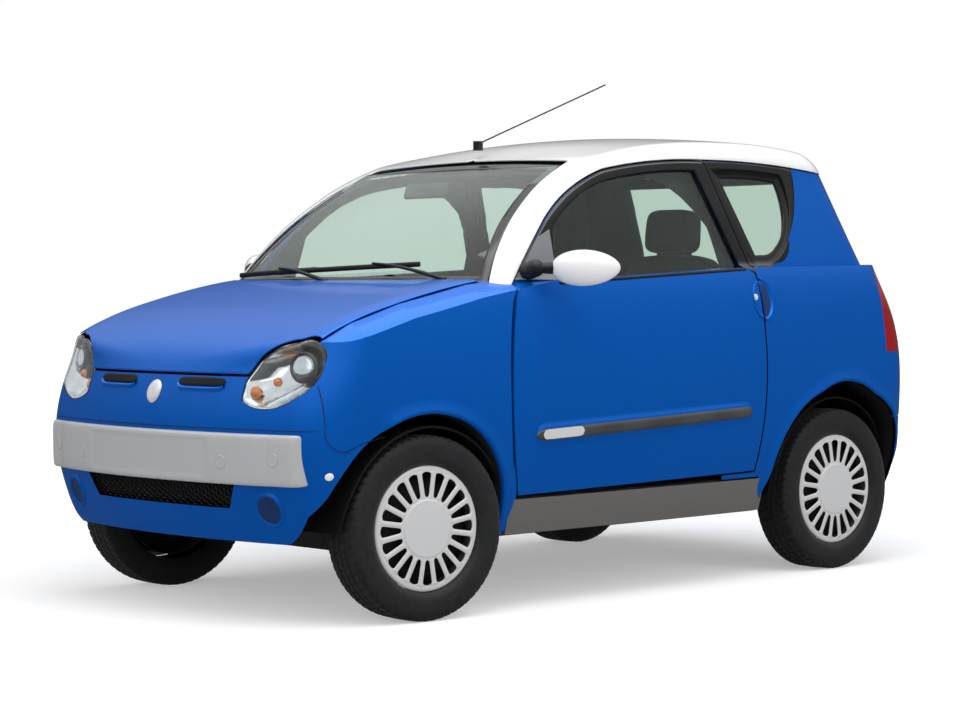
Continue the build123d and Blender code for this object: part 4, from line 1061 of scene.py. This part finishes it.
def tubeAlong(name, path, width, height, finish, body):
    # a flat-sided bar carried along a path: an oval section square to the path at each point
    path = np.asarray(path, float)
    along = np.gradient(path, axis=0)
    along /= np.linalg.norm(along, axis=1, keepdims=True)
    across = np.cross(along, [0, 0, 1.0])
    across /= np.linalg.norm(across, axis=1, keepdims=True)
    upward = np.cross(across, along)
    turn = np.linspace(0, 2 * np.pi, 13)[:-1]
    width, height = np.broadcast_to(width, len(path)), np.broadcast_to(height, len(path))
    points = (path[:, None, :] + across[:, None, :] * (np.cos(turn)[None, :] * width[:, None] / 2)[..., None]
              + upward[:, None, :] * (np.sin(turn)[None, :] * height[:, None] / 2)[..., None])
    faces = [list(f) for f in gridFaces(len(path), 12, wrapColumns=True)]
    faces += [list(range(12))[::-1], [(len(path) - 1) * 12 + i for i in range(12)]]
    return makePiece(name, points, faces, finish, body)


def makeWipers():
    # two wipers at rest low on the screen: an arm from its pivot and a blade that follows the glass
    for name, pivot, hook, start, end in (
            ("wiperLong", (0.470, 0.962), (0.140, 1.012), (-0.330, 0.990), (0.330, 1.012)),
            ("wiperShort", (-0.020, 0.958), (-0.330, 1.000), (-0.585, 0.982), (-0.120, 0.999))):
        share = np.linspace(0, 1, 30)[:, None]
        flat = np.array(start) + share * (np.array(end) - start)
        blade = liftedFront(upperGap, flat[:, None, :], np.full((30, 1), 0.010))[:, 0]
        tubeAlong(name + "Blade", blade, 0.009, 0.016, blackPlastic, "body")
        flat = np.array(pivot) + share * (np.array(hook) - pivot)
        rise = 0.016 + 0.016 * np.sin(share[:, 0] * np.pi)
        arm = liftedFront(upperGap, flat[:, None, :], rise[:, None])[:, 0]
        tubeAlong(name + "Arm", arm, np.linspace(0.018, 0.008, 30), np.linspace(0.014, 0.007, 30),
                  blackPlastic, "body")


makeDoorStrips()
makeArchLips()
makeArchLiners()
makeRepeaters()
makeHandles()
makeLiners()
makeMirrors()
makeWipers()
print("side trim made")


tyre = {"half": 0.0725, "bead": 0.1805, "blocks": 64, "grooveDepth": 0.0055, "treadHalf": 0.052}


def tyreProfile():
    # from one bead over the sidewall, shoulder and tread to the other: width and radius as smooth curves
    # through a few measured points, and a tread crowned by the square of the way across
    bead, treadHalf = tyre["bead"], tyre["treadHalf"]
    width = np.array([0.052, 0.060, 0.0685, 0.0722, 0.0718, 0.0690, 0.0655, 0.0600, 0.0540])
    radius = np.array([bead, bead + 0.004, 0.196, 0.215, 0.232, 0.247, 0.2555, 0.2625, 0.2650])
    at = np.linspace(0, len(width) - 1, 22)
    rows = np.stack([np.arange(len(width)), width, radius], -1).astype(float)
    sideWidth, sideRadius = smoothColumn(at, rows, 1), smoothColumn(at, rows, 2)
    across = np.linspace(treadHalf, -treadHalf, 41)
    crown = wheels["radius"] - 0.0012 * (across / treadHalf) ** 2
    return (np.concatenate([sideWidth, across, -sideWidth[::-1]]),
            np.concatenate([sideRadius, crown, sideRadius[::-1]]))


def makeTyres():
    # the profile turned about the axle, its radius cut by grooves: bell curves of the width, and a sawtooth
    # of the angle plus twelve times the width
    width, radius = tyreProfile()
    turns = 384
    turn = np.linspace(0, 2 * np.pi, turns, endpoint=False)
    W, T = width[None, :] + 0 * turn[:, None], turn[:, None] + 0 * width[None, :]
    R = radius[None, :] + 0 * T
    tread = R > 0.2535
    # three ring grooves and slanting cuts between the blocks, shallower where the tread turns down into the
    # sidewall
    rings = np.exp(-(W / 0.0032) ** 4) + np.exp(-((np.abs(W) - 0.026) / 0.0030) ** 4)
    slant = T * tyre["blocks"] / (2 * np.pi) + W * 12
    wave = np.abs((slant % 1) - 0.5) * 2
    cuts = np.clip((wave - 0.80) / 0.10, 0, 1) * (np.abs(W) > 0.008)
    depth = np.clip(rings + cuts * 0.8, 0, 1) * tyre["grooveDepth"]
    shoulder = np.clip((R - 0.2500) / 0.008, 0, 1)
    R = R - depth * shoulder * tread
    # two raised rings on the sidewall
    wall = np.exp(-((R - 0.2400) / 0.0016) ** 2) + np.exp(-((R - 0.2020) / 0.0016) ** 2)
    W = W + np.sign(W) * 0.0011 * wall
    local = np.stack([W, R * np.cos(T), R * np.sin(T)], -1)
    local = np.minimum(np.abs(local), [tyre["half"], 1, 1]) * np.sign(local)
    faces = gridFaces(turns, len(width), wrapRows=True)
    for end, place, steer in wheelPlaces:
        node, body = "tyre_" + wheelLabel(end), "wheel_" + wheelLabel(end)
        points = wheelPoints(local, place, steer)
        turnedFaces = faces[:, ::-1] if place[0] > 0 else faces
        piece = makePiece("treadTyre" + end, points, turnedFaces, rubber, body, sharpAngle=50)
        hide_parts(node)


cover = {"slots": 20, "slotInner": 0.090, "slotOuter": 0.162, "spokeHalf": 0.0082, "hub": 0.079,
         "edge": 0.1800, "stand": 0.0595, "barrel": 0.1640}


def makeCovers():
    # rows by radius, columns by angle; each twentieth of a turn has a slot between two half spokes: its half
    # angle is half the pitch less the spoke's half width over the radius, drawn in at its ends
    pitch = 2 * np.pi / cover["slots"]
    slotRows = np.linspace(cover["slotInner"], cover["slotOuter"], 20)
    radius = np.concatenate([np.linspace(0, cover["hub"], 10), np.linspace(0.0805, 0.0875, 4), slotRows,
                             np.linspace(0.1645, cover["edge"], 8)])
    inSlot = (radius >= cover["slotInner"] - 1e-6) & (radius <= cover["slotOuter"] + 1e-6)
    wide = pitch / 2 - cover["spokeHalf"] / np.maximum(radius, 0.06)
    way = np.clip((radius - cover["slotInner"]) / (cover["slotOuter"] - cover["slotInner"]), 0, 1)
    drawn = np.where(inSlot, 0.35 + 0.65 * np.sqrt(np.clip(1 - np.abs(2 * way - 1) ** 11, 0, 1)), 1)
    wide = wide * drawn
    left = np.linspace(-1, 0, 4)[:-1]
    offsets = np.concatenate([-wide[:, None] + left * (pitch / 2 - wide[:, None]),
                              wide[:, None] * np.linspace(-1, 1, 7)[None, :],
                              (wide[:, None] + (pitch / 2 - wide[:, None]) * np.array([[1 / 3, 2 / 3]]))], 1)
    perSector = offsets.shape[1]
    angle = (np.arange(cover["slots"])[None, :, None] * pitch + offsets[:, None, :]).reshape(len(radius), -1)
    spoke = np.clip((np.abs(offsets) - wide[:, None]) / (pitch / 2 - wide[:, None]), 0, 1)
    crest = np.tile(0.0022 * np.sin(spoke * np.pi / 2), (1, cover["slots"]))
    hubStep = 0.0030 / (1 + np.exp((radius - 0.083) / 0.0008))
    fall = 0.0045 * np.clip((radius - 0.172) / 0.008, 0, 1) ** 2
    W = (cover["stand"] + hubStep - fall - 0.0012 * way)[:, None] + crest * (inSlot[:, None] * 1.0)
    R = np.repeat(radius[:, None], angle.shape[1], 1)
    local = np.stack([W, R * np.cos(angle), R * np.sin(angle)], -1)
    columns = angle.shape[1]
    faces = gridFaces(len(radius), columns, wrapColumns=True)
    row, column = faces[:, 0] // columns, (faces[:, 0] % columns) % perSector
    first, last = np.flatnonzero(inSlot)[[0, -1]]
    cutOut = (row >= first) & (row < last) & (column >= 3) & (column < 9)
    faces = faces[~cutOut]
    turn, across = discGrid(96, 5)
    level, upright = cover["barrel"] * np.cos(turn), cover["barrel"] * np.sin(turn)
    barrel = np.stack([0.052 - 0.090 * across, level, upright], -1)
    plate = np.stack([0.030 - 0.010 * across, level * across, upright * across], -1)
    ringFaces = gridFaces(96, 5, wrapRows=True)
    for name, points, pieceFaces, finish, thick in (("wheelCover", local, faces, coverSilver, 0.0035),
                                                    ("wheelBarrel", barrel, ringFaces, steelPlain, 0.003),
                                                    ("wheelPlate", plate, ringFaces, underCoat, 0.003)):
        placeOnWheels(name, points, pieceFaces, finish, thick)


def placeOnWheels(name, local, faces, finish, thick):
    # the same piece on all four wheels
    for end, place, steer in wheelPlaces:
        points = wheelPoints(local, place, steer)
        turnedFaces = faces[:, ::-1] if place[0] > 0 else faces
        piece = makePiece(name + end, points, turnedFaces, finish, "wheel_" + wheelLabel(end))
        weldClose(piece)
        thicken(piece, thick, rim=0.0008 if name == "wheelCover" else 0)
        if name == "wheelCover":
            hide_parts("rim_" + wheelLabel(end))


def wheelLabel(end):
    # the end's name as the nodes spell it, as front_left for FrontLeft
    return ("front_" if "Front" in end else "rear_") + ("left" if "Left" in end else "right")


def wheelPoints(local, place, steer):
    # local x is outwards from the wheel's middle plane; the front wheels stand turned about their kingpins
    sign = 1 if place[0] > 0 else -1
    points = local * [sign, 1, 1] + np.array(place)
    if not steer:
        return points
    pivot = np.array([wheels["kingpinX"] * sign, wheels["frontY"], 0])
    c, s = math.cos(math.radians(steer)), math.sin(math.radians(steer))
    return (points - pivot) @ np.array([[c, s, 0], [-s, c, 0], [0, 0, 1]]) + pivot


wheelPlaces = [(end, (sign * halfTrack, axleY, wheels["radius"]), steer)
               for axle, halfTrack, axleY, steer in (("Front", 0.608, wheels["frontY"], wheels["steered"]),
                                                     ("Rear", 0.5985, wheels["rearY"], 0))
               for end, sign in ((axle + "Left", 1), (axle + "Right", -1))]
makeTyres()
makeCovers()
print("tyres made")


seat = {"x": 0.285, "crown": 0.012, "seamDepth": 0.004, "seamHalf": 0.006, "seamAt": 0.30, "rowPitch": 0.09,
        "fill": 0.8}


def padForm(name, centre, size, tilt, finish, power=0.35, squeeze=0.0, soft=True):
    # a closed form like a rounded box: powers of sine and cosine, faces swollen by the product of two
    # parabolas, and sewn channels that are bell curves of x and of z
    u, v = np.meshgrid(np.linspace(-np.pi / 2, np.pi / 2, 49), np.linspace(-np.pi, np.pi, 97)[:-1],
                       indexing="ij")
    shape = lambda value: np.sign(value) * np.abs(value) ** power
    x = shape(np.cos(u)) * shape(np.cos(v)) * size[0] / 2
    y = shape(np.cos(u)) * shape(np.sin(v)) * size[1] / 2
    z = shape(np.sin(u)) * size[2] / 2
    swell = [1 - np.clip(np.abs(way) / (full / 2), 0, 1) ** 2 for way, full in ((x, size[0]), (z, size[2]))]
    if soft:
        y = y * (1 + 2 * seat["crown"] / size[1] * (swell[0] * swell[1]))
        seamX, pitch = size[0] * seat["seamAt"], seat["rowPitch"]
        rows = np.exp(-((np.mod(z, pitch) - pitch / 2) / seat["seamHalf"]) ** 2) * (np.abs(x) < seamX)
        channel = np.exp(-((np.abs(x) - seamX) / seat["seamHalf"]) ** 2) + 0.8 * rows
        y = y - np.sign(y) * seat["seamDepth"] * channel * (np.abs(y) > size[1] * 0.3)
    x = x * (1 - squeeze * (z / size[2] + 0.5))
    # leaned back about the car's width by tilt
    angle, fill = math.radians(tilt), seat["fill"]
    leanY = y * math.cos(angle) - z * math.sin(angle)
    leanZ = y * math.sin(angle) + z * math.cos(angle)
    pieces = []
    for sign, label in ((1, "Left"), (-1, "Right")):
        points = np.stack([x + sign * centre[0], leanY + centre[1], leanZ + centre[2]], -1)
        piece = makePiece(name + label, points, gridFaces(49, 96, wrapColumns=True), finish, "body")
        weldClose(piece, closed=True)
        pieces.append(piece)
    return pieces


def makeSeats():
    # two seats side by side, each a cushion, a back, a headrest and its plain post
    cushions = padForm("seatCushion", (seat["x"], 0.250, 0.385), (0.436, 0.165, 0.440), 84, fabric)
    padForm("seatBack", (seat["x"], 0.545, 0.745), (0.430, 0.115, 0.600), -9, fabric, squeeze=0.10)
    padForm("headrest", (seat["x"], 0.5735, 1.122), (0.212, 0.078, 0.145), -6, fabric, 0.42, 0.06)
    padForm("seatPost", (seat["x"], 0.578, 1.042), (0.150, 0.020, 0.05), -6, blackPlastic, soft=False)
    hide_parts("seats")


makeSeats()
print("seats made")


skins = {"wall": 0.004, "roofWall": 0.005, "lift": 0.0006}


def onBody(gap, points, centre, lift):
    # each point moved along its line from a centre axis until it is lift above the surface
    start = np.broadcast_to(np.asarray(centre, float), points.shape) if np.ndim(centre) == 1 else centre
    heading = points - start
    heading = heading / np.linalg.norm(heading, axis=-1, keepdims=True)
    return cast(lambda x, y, z: gap(x, y, z) - lift, start, heading, 2.0)


def lampTop(x):
    # the lamp's upper edge in front view, as z over x
    path = arcPath(nose["lampOutline"], 40)
    upper = path[(path[:, 0] >= 0.378) & (path[:, 1] >= 0.70)]
    upper = upper[np.argsort(upper[:, 0])]
    return np.interp(x, upper[:, 0], upper[:, 1], left=0, right=0)


def makeBonnet():
    # x across, and for each x an angle in the y-z plane from the front edge to the rear one
    across, along = 161, 120
    x = np.linspace(-0.5965, 0.5965, across)
    ax = np.abs(x)
    edge = np.where(ax < 0.400, 0.710, 0.710 + (ax - 0.400) / 0.141 * 0.096)
    edge = np.minimum(edge, 0.807)
    edge = np.maximum(edge, np.where(ax > 0.385, lampTop(ax) + 0.0065, 0))
    front = frontPoint(lowerGap, x, edge)
    rearY = -0.6625 + 0.078 * (x / 0.6) ** 2 - 0.006
    rear = topPoint(lowerGap, x, rearY)
    centreY, centreZ = -0.56, 0.50
    a0 = np.arctan2(front[:, 2] - centreZ, centreY - front[:, 1])
    a1 = np.arctan2(rear[:, 2] - centreZ, centreY - rear[:, 1])
    share = np.linspace(0, 1, along)
    angle = a0[:, None] + (a1 - a0)[:, None] * share[None, :]
    start = np.stack([np.repeat(x[:, None], along, 1), np.full((across, along), centreY),
                      np.full((across, along), centreZ)], -1)
    heading = np.stack([np.zeros_like(angle), -np.cos(angle), np.sin(angle)], -1)
    points = cast(lambda a, b, c: lowerGap(a, b, c) - skins["lift"], start, heading, 1.5)
    piece = makePiece("bonnetSkin", points, gridFaces(across, along), blueLacquer, "bonnet")
    thicken(piece, skins["wall"], rim=0.0015)
    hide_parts("bonnet")


def makeRoof():
    # half a roof: straight lines from the rail inwards to the screen's side, its top edge and then the car's
    # middle line, each point then carried out to the surface
    count, across = 220, 44
    rail = arcPath([(-0.5135, 0.935), (-0.4365, 1.028, -0.3235, 1.148), (-0.2415, 1.212, -0.0405, 1.305),
                    (0.1315, 1.330, 0.4145, 1.344), (0.6745, 1.340, 0.9745, 1.316), (1.0900, 1.305)], 40)
    rail = shiftPath(evenPath(rail, count), 0.003)
    outer = sidePoint(upperGap, rail[:, 0], rail[:, 1])
    low = evenPath(np.stack([np.linspace(0.6125, 0.4585, 40), np.linspace(0.947, 1.331, 40)], -1), 90)
    sideEdge = frontPoint(upperGap, low[:, 0], low[:, 1])
    top = evenPath(arcPath([(0.4570, 1.3335), (0.24, 1.343, 0.0, 1.3475)], 40), 40)
    topEdge = frontPoint(upperGap, top[:, 0], top[:, 1])
    y = np.linspace(topEdge[-1, 1], 1.062, 60)[1:]
    middle = topPoint(upperGap, np.zeros_like(y), y)
    inner = np.concatenate([sideEdge, topEdge[1:], middle])
    # each stretch of the inner edge takes its own share of the rail
    shares = np.concatenate([np.linspace(0, 0.36, 90), np.linspace(0.36, 0.46, 40)[1:],
                             np.linspace(0.46, 1, 59)])
    inner = np.stack([np.interp(np.linspace(0, 1, count), shares, inner[:, k]) for k in range(3)], -1)
    flat = between(outer, inner, across)
    centre = np.stack([0 * flat[..., 0], np.clip(flat[..., 1], 0.15, 0.90), 0.95 + 0 * flat[..., 2]], -1)
    points = onBody(upperGap, flat, centre, skins["lift"])
    return points, count, across


def makeRoofSkin():
    # the half and its mirror image, welded along the middle
    points, count, across = makeRoof()
    left = points.reshape(-1, 3)
    faces = gridFaces(count, across)
    both = np.concatenate([left, left * [-1, 1, 1]])
    allFaces = np.concatenate([faces, faces[:, ::-1] + len(left)])
    piece = makePiece("roofSkin", both, allFaces, whiteLacquer, "body")
    weldClose(piece)
    thicken(piece, skins["roofWall"], rim=0.002)
    return piece


makeBonnet()
roofSkin = makeRoofSkin()
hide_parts("roof")
print("skins made")


studio = {"floorReach": 30.0, "floorGrey": "#dcdcdc", "floorLift": 0.34, "floorLiftFar": 0.8,
          "floorInGloss": 0.07, "skyLight": 0.80, "skySeen": 1.0, "skyInGlossLow": 0.07,
          "skyInGlossHigh": 0.95, "topPower": 125.0, "sidePower": 30.0, "frontPower": 20.0}
white = (1, 1, 1, 1)


def makeFloor():
    # a flat sheet: x and y run over a square, z is zero
    reach = studio["floorReach"]
    mesh = bpy.data.meshes.new("studioFloor")
    mesh.from_pydata([(-reach, -reach, 0), (reach, -reach, 0), (reach, reach, 0), (-reach, reach, 0)], [],
                     [(0, 1, 2, 3)])
    floor = bpy.data.objects.new("studioFloor", mesh)
    bpy.context.scene.collection.objects.link(floor)
    # matte paper, lifted towards white where the camera sees it and more so away from the car
    material = bpy.data.materials.new("paperWhiteMatte")
    material.use_nodes = True
    tree = material.node_tree
    tree.nodes.clear()
    path = addNode(tree, "ShaderNodeLightPath")
    seen = addNode(tree, "ShaderNodeMath", {0: path.outputs["Is Camera Ray"],
                                            1: path.outputs["Is Transmission Ray"]}, operation="MAXIMUM")
    grey = linearColour(studio["floorGrey"])
    paper = addNode(tree, "ShaderNodeBsdfDiffuse", {"Color": grey, "Roughness": 1.0})
    place = addNode(tree, "ShaderNodeTexCoord").outputs["Object"]
    away = addNode(tree, "ShaderNodeVectorMath", {0: place}, operation="LENGTH")
    far = addNode(tree, "ShaderNodeMapRange", {
        "Value": away.outputs["Value"], "From Min": 2.4, "From Max": 6.0,
        "To Min": studio["floorLift"], "To Max": studio["floorLiftFar"]})
    lift = addNode(tree, "ShaderNodeMath", {0: seen.outputs[0], 1: far.outputs[0]}, operation="MULTIPLY")
    glow = addNode(tree, "ShaderNodeEmission", {"Color": white, "Strength": lift.outputs[0]})
    both = addNode(tree, "ShaderNodeAddShader", {0: paper.outputs[0], 1: glow.outputs[0]})
    mirrored = addNode(tree, "ShaderNodeEmission", {"Color": white, "Strength": studio["floorInGloss"]})
    chosen = addNode(tree, "ShaderNodeMixShader", {0: path.outputs["Is Glossy Ray"], 1: both.outputs[0],
                                                   2: mirrored.outputs[0]})
    addNode(tree, "ShaderNodeOutputMaterial", {"Surface": chosen.outputs[0]})
    mesh.materials.append(material)


def makeSky():
    # white to the camera, even light on matt surfaces, and dark at the horizon in gloss, brighter upwards
    world = bpy.data.worlds.new("studioSky")
    bpy.context.scene.world = world
    world.use_nodes = True
    tree = world.node_tree
    tree.nodes.clear()
    path = addNode(tree, "ShaderNodeLightPath")
    seen = addNode(tree, "ShaderNodeMath", {0: path.outputs["Is Camera Ray"],
                                            1: path.outputs["Is Transmission Ray"]}, operation="MAXIMUM")
    heading = addNode(tree, "ShaderNodeSeparateXYZ",
                      {"Vector": addNode(tree, "ShaderNodeTexCoord").outputs["Generated"]})
    climb = {"Value": heading.outputs["Z"], "From Min": 0.15, "From Max": 0.75,
             "To Min": studio["skyInGlossLow"], "To Max": studio["skyInGlossHigh"]}
    upward = addNode(tree, "ShaderNodeMapRange", climb, interpolation_type="SMOOTHSTEP")
    plain = addNode(tree, "ShaderNodeMix", {0: path.outputs["Is Glossy Ray"], 2: studio["skyLight"],
                                            3: upward.outputs[0]})
    strength = addNode(tree, "ShaderNodeMix", {0: seen.outputs[0], 2: plain.outputs[0], 3: studio["skySeen"]})
    sky = addNode(tree, "ShaderNodeBackground", {"Color": white, "Strength": strength.outputs[0]})
    addNode(tree, "ShaderNodeOutputWorld", {"Surface": sky.outputs[0]})


def addSoftbox(name, place, target, width, height, power):
    # a rectangular lamp turned towards its target; only the one overhead shows in glossy paint
    light = bpy.data.lights.new(name, "AREA")
    light.shape = "RECTANGLE"
    light.size, light.size_y, light.energy = width, height, power
    box = bpy.data.objects.new(name, light)
    box.location = place
    box.rotation_euler = (Vector(target) - Vector(place)).to_track_quat("-Z", "Y").to_euler()
    box.visible_glossy = name == "softboxTop"
    bpy.context.scene.collection.objects.link(box)


def makeCamera():
    # the view of the work: its place, heading, pitch and roll, and a long lens
    view = {"place": (6.0739, -5.6136, 0.9919), "heading": 47.4409, "pitch": 1.9675, "roll": -0.3919,
            "lens": 95.32}
    heading, pitch, roll = (math.radians(view[k]) for k in ("heading", "pitch", "roll"))
    level = math.cos(pitch)
    back = Vector((math.sin(heading) * level, -math.cos(heading) * level, math.sin(pitch)))
    right = (-back).cross(Vector((0, 0, 1))).normalized()
    up = right.cross(-back)
    rightRolled = right * math.cos(roll) + up * math.sin(roll)
    upRolled = up * math.cos(roll) - right * math.sin(roll)
    camera = bpy.data.objects.new("viewCamera", bpy.data.cameras.new("viewCamera"))
    camera.data.lens, camera.data.sensor_width, camera.data.clip_end = view["lens"], 36, 100
    turn = Matrix((rightRolled, upRolled, back)).transposed()
    camera.matrix_world = Matrix.Translation(view["place"]) @ turn.to_4x4()
    bpy.context.scene.collection.objects.link(camera)
    bpy.context.scene.camera = camera


makeFloor()
makeSky()
addSoftbox("softboxTop", (1.0, -0.5, 4.6), (0, 0, 0.5), 4.5, 5.5, studio["topPower"])
addSoftbox("softboxSide", (5.5, 1.5, 2.6), (0, 0, 0.6), 4.0, 2.2, studio["sidePower"])
addSoftbox("softboxFront", (1.5, -6.0, 2.4), (0, -0.5, 0.6), 4.0, 2.0, studio["frontPower"])
makeCamera()
bpy.context.scene.view_settings.view_transform = "Standard"
print("studio set")
